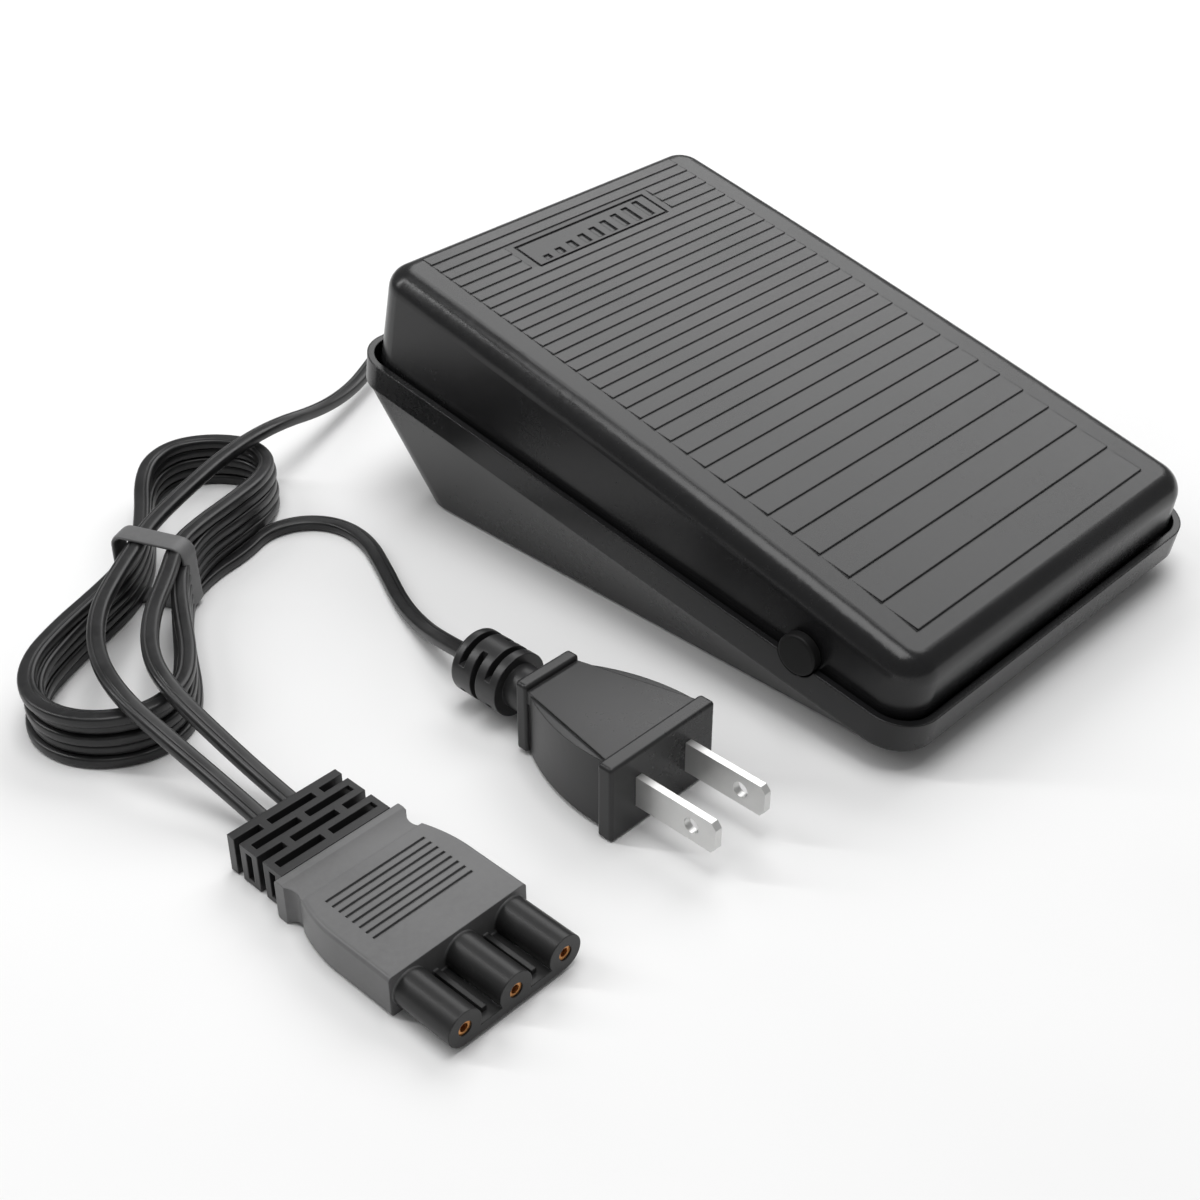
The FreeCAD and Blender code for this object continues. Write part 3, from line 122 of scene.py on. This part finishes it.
def blend(tree, share, first, second):
    """A colour between two others."""
    made = add(tree, "Mix", {"Factor": share}, data_type="RGBA")
    for socket, source in (("A", first), ("B", second)):
        target = next(s for s in made.inputs if s.name == socket and s.type == "RGBA")
        if isinstance(source, bpy.types.NodeSocket):
            tree.links.new(source, target)
        else:
            target.default_value = (*source, 1)
    return next(s for s in made.outputs if s.type == "RGBA")


def soft_edge(tree, radius_mm):
    """A normal rounded over the edges, and a mask that is 1 on them."""
    rounded = add(tree, "Bevel", {"Radius": radius_mm * MM}, samples=6).outputs["Normal"]
    plain = add(tree, "NewGeometry").outputs["Normal"]
    match = add(tree, "VectorMath", {0: rounded, 1: plain}, operation="DOT_PRODUCT").outputs["Value"]
    return rounded, ramp(tree, match, 0.995, 0.8)


def finish_shader(tree, colour, roughness, normal, **fixed):
    """The surface; fixed values go straight onto its sockets."""
    shader = add(tree, "BsdfPrincipled", {"Base Color": colour, "Roughness": roughness, "Normal": normal})
    for socket, value in fixed.items():
        shader.inputs[socket.replace("_", " ")].default_value = value
    add(tree, "OutputMaterial", {"Surface": shader.outputs["BSDF"]})


def moulded(name, colour, rough, grain=0.35, relief=0.012, edge=0.25, wear=0.5, gloss=0.5, pale=1.9,
            painted_shade_past=None):
    """Moulded plastic or rubber: grain, faint flow marks, rubs, and edges worn smoother and paler.

    The last argument is the Y, in millimetres, below which the colour is darkened as painted shade.
    """
    made, tree = new_material(name)
    place = add(tree, "TexCoord").outputs["Object"]
    rounded, on_edge = soft_edge(tree, edge)
    flow = noise(tree, place, 26, 3.0)
    fine = noise(tree, place, grain, 2.0, 0.6)
    speck = noise(tree, place, grain * 4, 4.0, 0.65)
    rub = ramp(tree, noise(tree, place, 2.6, 5.0, 0.7, (1, 0.12, 1)), 0.60, 0.74)
    worn = times(tree, on_edge, ramp(tree, speck, 0.35, 0.75, 0.15, wear))
    body = blend(tree, ramp(tree, flow, 0.3, 0.7), [c * 0.85 for c in colour], [c * 1.18 for c in colour])
    body = blend(tree, ramp(tree, speck, 0.3, 0.8, 0, 0.4), body, [c * 1.35 for c in colour])
    body = blend(tree, times(tree, rub, 0.12), body, [c * pale for c in colour])
    body = blend(tree, worn, body, [c * pale * 1.3 + 0.004 for c in colour])
    # Painted shade: past this Y the colour is scaled down, so the same plastic reads darker there.
    if painted_shade_past is not None:
        along = add(tree, "SeparateXYZ", {"Vector": place}).outputs["Y"]
        shade = ramp(tree, along, (painted_shade_past - PAINTED_SHADE_STEP) * MM, (painted_shade_past + PAINTED_SHADE_STEP) * MM,
                     PAINTED_SHADE_SHARE, 1.0)
        body = add(tree, "VectorMath", {0: body, "Scale": shade}, operation="SCALE").outputs["Vector"]
    shine = plus(tree, ramp(tree, flow, 0.3, 0.7, rough - 0.02, rough + 0.03), times(tree, rub, 0.02))
    shine = plus(tree, shine, times(tree, worn, -0.10))
    shine = plus(tree, shine, ramp(tree, speck, 0.3, 0.75, -0.02, 0.02))
    bump = add(tree, "Bump", {"Strength": 0.55, "Distance": relief * MM, "Height": fine, "Normal": rounded})
    finish_shader(tree, body, shine, bump.outputs["Normal"], Specular_IOR_Level=gloss)
    return made


def metal(name, colour, rough, along=(1, 0.04, 1), tarnish=0.25, edge=0.15, bare=1.0):
    """Bare or plated metal: drawing lines along one axis, tarnish in patches, bright edges."""
    made, tree = new_material(name)
    place = add(tree, "TexCoord").outputs["Object"]
    rounded, on_edge = soft_edge(tree, edge)
    lines = noise(tree, place, 0.22, 3.0, 0.6, along)
    patch = noise(tree, place, 4.5, 4.0, 0.6)
    body = blend(tree, ramp(tree, patch, 0.4, 0.75, 0, tarnish), colour, [c * 0.55 for c in colour])
    body = blend(tree, ramp(tree, lines, 0.3, 0.7, 0, 0.12), body, [min(1, c * 1.12) for c in colour])
    body = blend(tree, times(tree, on_edge, 0.5), body, [min(1, c * 1.2) for c in colour])
    shine = plus(tree, ramp(tree, lines, 0.3, 0.7, rough - 0.03, rough + 0.04),
                 ramp(tree, patch, 0.4, 0.75, 0, tarnish * 0.4))
    bump = add(tree, "Bump", {"Strength": 0.3, "Distance": 0.004 * MM, "Height": lines, "Normal": rounded})
    finish_shader(tree, body, shine, bump.outputs["Normal"], Metallic=bare)
    return made


def laminate(name):
    """Circuit board: green mask over a grid of tracks, with a woven glass texture under it."""
    made, tree = new_material(name)
    place = add(tree, "TexCoord").outputs["Object"]
    rounded, on_edge = soft_edge(tree, 0.1)
    tracks = add(tree, "TexBrick", {"Vector": place, "Scale": 90.0, "Mortar Size": 0.018, "Brick Width": 1.1,
                                    "Row Height": 0.42, "Mortar Smooth": 0.1}).outputs["Fac"]
    weave = noise(tree, place, 0.6, 2.0)
    body = blend(tree, tracks, (0.012, 0.075, 0.030), (0.030, 0.16, 0.065))
    body = blend(tree, ramp(tree, weave, 0.35, 0.7, 0, 0.35), body, (0.03, 0.11, 0.045))
    body = blend(tree, times(tree, on_edge, 0.7), body, (0.22, 0.19, 0.10))
    height = plus(tree, tracks, times(tree, weave, 0.3))
    bump = add(tree, "Bump", {"Strength": 0.5, "Distance": 0.03 * MM, "Height": height, "Normal": rounded})
    finish_shader(tree, body, ramp(tree, weave, 0.3, 0.7, 0.28, 0.42), bump.outputs["Normal"])
    return made


def winding(name):
    """Enamelled copper wire wound in close layers round an upright bobbin."""
    made, tree = new_material(name)
    place = add(tree, "TexCoord").outputs["Object"]
    turns = add(tree, "TexWave", {"Vector": place, "Scale": 420.0, "Distortion": 0.25, "Detail": 1.0},
                bands_direction="Z").outputs["Fac"]
    patch = noise(tree, place, 1.5, 3.0)
    body = blend(tree, turns, (0.22, 0.07, 0.02), (0.62, 0.24, 0.08))
    body = blend(tree, ramp(tree, patch, 0.4, 0.7, 0, 0.4), body, (0.42, 0.13, 0.04))
    bump = add(tree, "Bump", {"Strength": 0.9, "Distance": 0.12 * MM, "Height": turns})
    finish_shader(tree, body, ramp(tree, patch, 0.3, 0.7, 0.24, 0.40), bump.outputs["Normal"], Metallic=0.85)
    return made


def banded(name):
    """Film resistors: a pale lacquered body with generic colour bands along X."""
    made, tree = new_material(name)
    place = add(tree, "TexCoord").outputs["Object"]
    along = add(tree, "SeparateXYZ", {"Vector": place}).outputs["X"]
    fine = noise(tree, place, 0.5, 3.0)
    body = blend(tree, ramp(tree, fine, 0.35, 0.7), (0.50, 0.40, 0.24), (0.62, 0.50, 0.32))
    for middle, colour in ((-7.4, (0.35, 0.05, 0.02)), (-6.1, (0.04, 0.03, 0.02)), (-4.8, (0.55, 0.20, 0.02)),
                           (-3.2, (0.50, 0.36, 0.06))):
        away = add(tree, "Math", {0: plus(tree, along, -middle * MM)}, operation="ABSOLUTE").outputs["Value"]
        body = blend(tree, ramp(tree, away, 0.36 * MM, 0.30 * MM), body, colour)
    bump = add(tree, "Bump", {"Strength": 0.3, "Distance": 0.03 * MM, "Height": fine})
    finish_shader(tree, body, ramp(tree, fine, 0.3, 0.7, 0.25, 0.38), bump.outputs["Normal"])
    return made


def jacket(name):
    """Soft PVC cord jacket: near black, with drawn-out flow lines, dust in patches and a waxy sheen."""
    made, tree = new_material(name)
    place = add(tree, "TexCoord").outputs["Object"]
    flow = noise(tree, place, 7, 3.0)
    fine = noise(tree, place, 0.3, 2.0, 0.6)
    dust = noise(tree, place, 1.8, 5.0, 0.7)
    body = blend(tree, ramp(tree, flow, 0.3, 0.7), (0.010, 0.010, 0.0105), (0.019, 0.019, 0.0195))
    body = blend(tree, ramp(tree, dust, 0.52, 0.8, 0, 0.30), body, (0.050, 0.050, 0.051))
    shine = plus(tree, ramp(tree, flow, 0.3, 0.7, 0.28, 0.37), ramp(tree, dust, 0.5, 0.8, 0, 0.10))
    bump = add(tree, "Bump", {"Strength": 0.5, "Distance": 0.015 * MM, "Height": fine})
    finish_shader(tree, body, shine, bump.outputs["Normal"], Specular_IOR_Level=0.40)
    return made


# -------------------------------------------------------------------- the parts' materials
# Y at which the connector's grey body ends and its socket tubes begin, in millimetres; past it the tubes'
# colour is darkened as painted shade.
SOCKET_TUBES_FROM = -49.6


def dress(materials):
    """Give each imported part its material; materials maps a material to the parts that use it."""
    for made, names in materials:
        for name in names:
            mesh = NODES[name].data
            mesh.materials.clear()
            mesh.materials.append(made)


def dress_parts():
    dress([
        (moulded("treadle_plastic", (0.010, 0.010, 0.0105), 0.25, relief=0.006, edge=0.35, wear=0.15,
                 gloss=0.36), ["treadle_cover"]),
        (moulded("case_plastic", (0.009, 0.009, 0.0095), 0.26, relief=0.006, edge=0.45, wear=0.3,
                 gloss=0.36), ["lower_case"]),
        (moulded("cap_plastic", (0.006, 0.006, 0.006), 0.50, gloss=0.20), ["hinge_caps"]),
        (moulded("foot_rubber", (0.030, 0.030, 0.031), 0.72, grain=0.5, relief=0.03, gloss=0.3),
         ["rubber_feet"]),
        (moulded("white_nylon", (0.62, 0.61, 0.57), 0.38, pale=1.1), ["speed_plunger", "choke_bobbin"]),
        (moulded("control_plastic", (0.045, 0.048, 0.060), 0.42), ["speed_control", "cord_clamp"]),
        (moulded("component_black", (0.020, 0.020, 0.022), 0.50), ["power_triac"]),
        (moulded("capacitor_plastic", (0.40, 0.26, 0.035), 0.30, pale=1.2), ["suppression_capacitor"]),
        (moulded("terminal_plastic", (0.045, 0.17, 0.075), 0.40, pale=1.3), ["terminal_block"]),
        (moulded("wire_insulation", (0.055, 0.056, 0.060), 0.42, grain=0.3), ["inner_leads"]),
        (moulded("boot_rubber", (0.022, 0.022, 0.0225), 0.34, grain=0.4, edge=0.3, gloss=0.40),
         ["strain_relief", "plug_boot", "connector_boot"]),
        # The socket tubes get painted shade: the same plastic with its colour darkened.
        (moulded("connector_plastic", (0.130, 0.130, 0.131), 0.36, edge=0.3, gloss=0.32, pale=1.35,
                 painted_shade_past=SOCKET_TUBES_FROM), ["connector_body"]),
        (moulded("plug_plastic", (0.020, 0.020, 0.0205), 0.30, edge=0.25, gloss=0.34), ["plug_body"]),
        (metal("blade_metal", (0.68, 0.68, 0.67), 0.36, tarnish=0.08, bare=0.72), ["plug_blades"]),
        (metal("contact_brass", (0.62, 0.29, 0.10), 0.36, tarnish=0.5, bare=0.8), ["socket_contacts"]),
        (metal("pin_steel", (0.60, 0.60, 0.61), 0.26, along=(0.04, 1, 1)), ["hinge_pin"]),
        (metal("spring_steel", (0.50, 0.49, 0.47), 0.30, along=(1, 1, 1), tarnish=0.35), ["return_spring"]),
        (metal("screw_steel", (0.66, 0.65, 0.60), 0.28, along=(1, 1, 1)), ["board_screws", "clamp_screws"]),
        (metal("sink_aluminium", (0.78, 0.79, 0.80), 0.34, tarnish=0.1), ["heat_sink"]),
        (laminate("board_laminate"), ["circuit_board"]),
        (winding("copper_wire"), ["choke_winding"]),
        (banded("resistor_ceramic"), ["resistors"]),
    ])


# --------------------------------------------------------------------------- flat cord
CORD_WIDE = 3.4
CORD_THICK = 2.3
GROOVE_PLACE = 0.62
GROOVE_DEEP = 0.22
GROOVE_WIDE = 0.12
SQUARENESS = 4.0
# How far the cord's ends reach into the pieces that hold them.
TUCK = 1.2


def cord_section():
    """The flat cord's outline: blunt rounded sides and one groove along its top, off the middle."""
    half, tall = CORD_WIDE / 2, CORD_THICK / 2
    across = [half * math.sin(math.pi / 2 * step / 7) for step in range(-7, 8)]
    top = sorted(across + [GROOVE_PLACE + GROOVE_WIDE * step for step in (-1.6, -0.8, 0, 0.8, 1.6)])
    points = []
    for u in top:
        v = tall * (1 - abs(u / half) ** SQUARENESS) ** (1 / SQUARENESS)
        points.append((u, v - GROOVE_DEEP * math.exp(-((u - GROOVE_PLACE) / GROOVE_WIDE) ** 2)))
    for u in reversed(across[1:-1]):
        points.append((u, -tall * (1 - abs(u / half) ** SQUARENESS) ** (1 / SQUARENESS)))
    return points


def spline_line(name, route):
    """The smooth line of a NURBS spline with the route's points as its control points."""
    curve = bpy.data.curves.new(name + "_line", "CURVE")
    curve.dimensions = "3D"
    spline = curve.splines.new("NURBS")
    spline.points.add(len(route) - 1)
    for point, (x, y, z) in zip(spline.points, route):
        point.co = (x * MM, y * MM, z * MM, 1)
    spline.order_u = 3
    spline.use_endpoint_u = True
    spline.resolution_u = 8
    holder = bpy.data.objects.new(name + "_line", curve)
    SCENE.collection.objects.link(holder)
    bpy.context.view_layer.update()
    mesh = bpy.data.meshes.new_from_object(holder)
    line = [vertex.co.copy() for vertex in mesh.vertices]
    bpy.data.objects.remove(holder)
    bpy.data.meshes.remove(mesh)
    return line


def sweep(name, line, section, material):
    """A closed mesh that carries a section, in millimetres, along a line with its wide side level."""
    ahead = [(line[min(i + 1, len(line) - 1)] - line[max(i - 1, 0)]).normalized() for i in range(len(line))]
    places = list(line)
    places[0] = places[0] - ahead[0] * TUCK * MM
    places[-1] = places[-1] + ahead[-1] * TUCK * MM
    mesh = bmesh.new()
    rings = []
    for place, way in zip(places, ahead):
        side = way.cross(Vector((0, 0, 1))).normalized()
        up = side.cross(way)
        rings.append([mesh.verts.new(place + side * u * MM + up * v * MM) for u, v in section])
    count = len(section)
    for low, high in zip(rings, rings[1:]):
        for i in range(count):
            j = (i + 1) % count
            mesh.faces.new((low[i], low[j], high[j], high[i]))
    mesh.faces.new(rings[0])
    mesh.faces.new(reversed(rings[-1]))
    bmesh.ops.recalc_face_normals(mesh, faces=mesh.faces)
    for face in mesh.faces:
        face.smooth = True
    return as_object(name, mesh, material)


def as_object(name, mesh, material):
    data = bpy.data.meshes.new(name)
    mesh.to_mesh(data)
    mesh.free()
    data.materials.append(material)
    made = bpy.data.objects.new(name, data)
    SCENE.collection.objects.link(made)
    return made


# ------------------------------------------------------------------------- cord routes
# The pedal's own lead: out of the gland, down behind the case, over the hank, through the
# tie and on to the machine connector.
PEDAL_LEAD = [(8, 90, 17), (7.9, 98.6, 15.9), (5.4, 106.4, 13.3), (-0.4, 111.6, 9.9), (-8.3, 112.6, 7.0),
              (-16.5, 109.1, 5.3), (-27.2, 103.8, 4.7), (-41.2, 97.9, 7.0), (-59.8, 90.6, 13.5),
              (-74.4, 87.6, 13.9), (-89, 82.0, 13.9), (-102, 76.6, 13.6), (-109, 71.79, 13.56)]
LINK_LEAD_LEFT = [(-109, 71.79, 13.56), (-118, 65.6, 13.5), (-127.8, 57.5, 13.8), (-136.0, 45.5, 14.4),
                  (-140.4, 31.5, 15.0), (-139.4, 18.5, 11.6), (-136.8, 6.5, 6.0), (-136.6, -5.0, 4.15)]
# The mains cord: out of the connector, over the hank's right-hand column, down through its
# five turns, and along the floor to the plug.
LINK_LEAD_RIGHT = [(-103.2, 66.5, 13.1), (-111.4, 58.0, 13.6), (-122.0, 48.4, 14.2), (-130.2, 36.6, 14.9),
                   (-132.8, 25.6, 13.9), (-131.8, 14.0, 9.6), (-130.4, 4.0, 5.4), (-130.2, -5.0, 4.15)]
PLUG_LEAD = [(-95.0, 68.6, 1.2), (-85.5, 70.0, 1.2), (-77.6, 73.2, 1.2), (-69.4, 71.0, 1.2),
             (-64.4, 64.2, 1.2), (-64.4, 54.6, 1.2), (-69.2, 43.5, 1.2), (-75.0, 31.6, 1.4),
             (-78.4, 21.6, 2.6), (-81.6, 11.4, 5.8), (-83.1, 1.0, 8.1)]
HANK_LOOP = [(-121.5, 67.2), (-133.0, 62.6), (-142.6, 57.4), (-148.3, 49.4), (-148.2, 40.4), (-143.0, 33.0),
             (-135.2, 29.6), (-127.4, 31.8), (-121.4, 38.8), (-115.4, 48.6), (-109.8, 57.2), (-103.6, 64.8),
             (-95.0, 70.2), (-84.0, 73.2), (-73.6, 77.4), (-66.8, 83.6), (-65.4, 92.2), (-70.0, 99.6),
             (-77.4, 104.0), (-85.4, 102.2), (-92.2, 95.2), (-98.2, 86.0), (-105.0, 77.0), (-112.6, 71.2)]
TIE_PLACE = Vector((-106.5, 69.7))
LEFT_LOBE = Vector((-136.0, 45.0))
RIGHT_LOBE = Vector((-79.0, 90.0))
JOIN = 15
LEAVE = 12
TOP_TURN = CORD_THICK * 4.5
# How far each turn lies outside the hank's middle line, in its left and its right lobe.
SPREADS = [(0.6, -0.2), (-0.6, 0.25), (0.2, -0.1), (-0.3, 0.4), (0.7, 0.1)]
# How much of a layer the cord has come down where it meets the side of the hank again.
STEP_DOWN = {13: 0.14, 14: 0.62}
LAST_STEP_DOWN = {13: 0.02, 14: 0.50}
# Distances from the tie at which the turns begin to part and at which they lie fully apart.
PARTING_FROM = 12
PARTING_TO = 32
# Heights at which the cord comes down into the top turn, at three points of the hank's loop.
JOINING = {12: 12.7, 13: 12.4, 14: 11.5}


def turn_point(index, level, spread):
    """A point of one turn; away from the tie the turns lie a little apart."""
    x, y = HANK_LOOP[index]
    here = Vector((x, y))
    lobe, shift = (LEFT_LOBE, spread[0]) if index < LEAVE else (RIGHT_LOBE, spread[1])
    away = (here - TIE_PLACE).length
    loose = min(1.0, max(0.0, (away - PARTING_FROM) / (PARTING_TO - PARTING_FROM)))
    here += (here - lobe).normalized() * shift * loose
    return (here.x, here.y, level)


def hank_turns():
    """The five turns from the top one down, each a cord's thickness under the last."""
    points = []
    for turn, spread in enumerate(SPREADS):
        level = TOP_TURN - CORD_THICK * turn
        final = turn == len(SPREADS) - 1
        count = len(HANK_LOOP)
        stop = LEAVE if final else JOIN
        for step in range((stop - JOIN) % count or count):
            index = (JOIN + step) % count
            down = LAST_STEP_DOWN if turn == len(SPREADS) - 2 else STEP_DOWN
            points.append(turn_point(index, level - CORD_THICK * down.get(index, 0.0), spread))
    return points


def joining_points():
    """From above the hank's right-hand column into its top turn."""
    return [(*HANK_LOOP[index], height) for index, height in JOINING.items()]


def make_cords():
    skin = jacket("cord_jacket")
    section = cord_section()
    pedal_route = PEDAL_LEAD + LINK_LEAD_LEFT[1:]
    pedal_line = spline_line("pedal_cord", pedal_route)
    pedal_cord = sweep("pedal_cord", pedal_line, section, skin)
    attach(pedal_cord, "case")
    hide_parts("pedal_lead", "connector_lead_left")
    mains_route = LINK_LEAD_RIGHT[::-1] + joining_points() + hank_turns() + PLUG_LEAD
    mains_line = spline_line("mains_cord", mains_route)
    mirrored = [(-u, v) for u, v in reversed(section)]
    mains_cord = sweep("mains_cord", mains_line, mirrored, skin)
    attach(mains_cord, "case")
    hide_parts("connector_lead_right", "cord_hank", "plug_lead")
    return (pedal_cord, pedal_route, pedal_line), (mains_cord, mains_route, mains_line)


# ---------------------------------------------------------------------------- cord tie
TIE_TURN = math.radians(-65)
STRAP_WIDE = 4.8
STRAP_THICK = 1.0
STRAP_HALF = 8.1
STRAP_LEFT_TOP = 15.2
STRAP_RIGHT_TOP = 14.8
STRAP_LOW = 0.55
# How far the strap's upper corners lean in, on the right and on the left.
STRAP_LEAN_RIGHT = 0.3
STRAP_LEAN_LEFT = 0.2
STRAP_RADII = [1.4, 1.4, 2.6, 2.2]
CORNER_STEPS = 8
EDGE_STEPS = 20


def round_corner(before, corner, after, radius, steps):
    """Points of an arc that rounds a corner."""
    into, out = (before - corner).normalized(), (after - corner).normalized()
    turn = math.pi - into.angle(out)
    reach = radius * math.tan(turn / 2)
    start, end = corner + into * reach, corner + out * reach
    centre = corner + (into + out).normalized() * radius / math.cos(turn / 2)
    first, last = start - centre, end - centre
    angle = first.angle_signed(last)
    cosine = [math.cos(-angle * i / steps) for i in range(steps + 1)]
    sine = [math.sin(-angle * i / steps) for i in range(steps + 1)]
    return [centre + Vector((first.x * c - first.y * s, first.x * s + first.y * c))
            for c, s in zip(cosine, sine)]


def strap_path():
    """The strap's middle line across the hank: u across it, v up."""
    corners = [Vector((-STRAP_HALF, STRAP_LOW)), Vector((STRAP_HALF, STRAP_LOW)),
               Vector((STRAP_HALF - STRAP_LEAN_RIGHT, STRAP_RIGHT_TOP)),
               Vector((-STRAP_HALF + STRAP_LEAN_LEFT, STRAP_LEFT_TOP))]
    points = []
    for i, (corner, radius) in enumerate(zip(corners, STRAP_RADII)):
        after = corners[(i + 1) % len(corners)]
        points += round_corner(corners[i - 1], corner, after, radius, CORNER_STEPS)
    return points


def strap_section():
    """The strap's outline, with blunt rounded edges."""
    points = []
    for step in range(EDGE_STEPS):
        angle = 2 * math.pi * step / EDGE_STEPS
        c, s = math.cos(angle), math.sin(angle)
        points.append((STRAP_WIDE / 2 * math.copysign(abs(c) ** 0.45, c),
                       STRAP_THICK / 2 * math.copysign(abs(s) ** 0.7, s)))
    return points


def make_tie():
    """The moulded strap round the hank's waist and the two leads that cross it."""
    path = strap_path()
    count = len(path)
    across = Vector((math.cos(TIE_TURN), math.sin(TIE_TURN), 0))
    along = Vector((-across.y, across.x, 0))
    middle = Vector((TIE_PLACE.x, TIE_PLACE.y, 0))
    mesh = bmesh.new()
    rings = []
    for i, (u, v) in enumerate(path):
        way = (path[(i + 1) % count] - path[i - 1]).normalized()
        outward = Vector((way.y, -way.x))
        ring = []
        for wide, deep in strap_section():
            spot = Vector((u, v)) + outward * deep
            place = middle + across * spot.x + along * wide + Vector((0, 0, spot.y))
            ring.append(mesh.verts.new(place * MM))
        rings.append(ring)
    for i in range(count):
        low, high = rings[i], rings[(i + 1) % count]
        for j in range(len(low)):
            k = (j + 1) % len(low)
            mesh.faces.new((low[j], low[k], high[k], high[j]))
    bmesh.ops.recalc_face_normals(mesh, faces=mesh.faces)
    for face in mesh.faces:
        face.smooth = True
    plastic = moulded("tie_plastic", (0.125, 0.125, 0.126), 0.40, edge=0.15, gloss=0.3)
    strap = as_object("cord_strap", mesh, plastic)
    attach(strap, "case")
    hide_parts("cord_tie")
    return strap


# ---------------------------------------------------------------------- floor and light
def make_floor():
    """A plain pale floor."""
    half = 3.0
    mesh = bmesh.new()
    corners = [(-half, -half), (half, -half), (half, half), (-half, half)]
    mesh.faces.new([mesh.verts.new((x, y, 0)) for x, y in corners])
    made, tree = new_material("floor")
    place = add(tree, "TexCoord").outputs["Object"]
    patch = noise(tree, place, 60, 2.0)
    tone = blend(tree, ramp(tree, patch, 0.3, 0.7), (0.86, 0.86, 0.86), (0.88, 0.88, 0.88))
    plain = add(tree, "NewGeometry").outputs["Normal"]
    finish_shader(tree, tone, ramp(tree, patch, 0.3, 0.7, 0.85, 0.9), plain, Specular_IOR_Level=0.1)
    as_object("floor", mesh, made)


def make_light(name, way, distance, wide, tall, power):
    """A softbox that faces the treadle from the direction way; wide, tall and distance are in metres."""
    data = bpy.data.lights.new(name, "AREA")
    data.shape = "RECTANGLE"
    data.size = wide
    data.size_y = tall
    data.energy = power
    lamp = bpy.data.objects.new(name, data)
    low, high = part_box("treadle_cover")
    aim = (low + high) / 2
    lamp.location = aim + Vector(way).normalized() * distance
    lamp.rotation_euler = (aim - lamp.location).to_track_quat("-Z", "Y").to_euler()
    SCENE.collection.objects.link(lamp)


def make_lights():
    make_light("rear_softbox", (0.657, 0.293, 0.695), 0.95, 0.84, 0.60, 4.5)
    make_light("ceiling", (-0.05, 0.02, 1.0), 1.2, 0.70, 0.70, 8.0)
    make_light("left_strip", (-0.50, 0.60, 0.62), 1.0, 0.05, 0.70, 2.6)
    world = bpy.data.worlds.new("studio")
    world.use_nodes = True
    world.node_tree.nodes["Background"].inputs["Color"].default_value = (1, 1, 1, 1)
    world.node_tree.nodes["Background"].inputs["Strength"].default_value = 0.27
    SCENE.world = world
    SCENE.view_settings.view_transform = "Standard"


# ------------------------------------------------------------------------------ build
make_camera()
pedal, mains = make_cords()
strap = make_tie()
dress_parts()
make_floor()
make_lights()
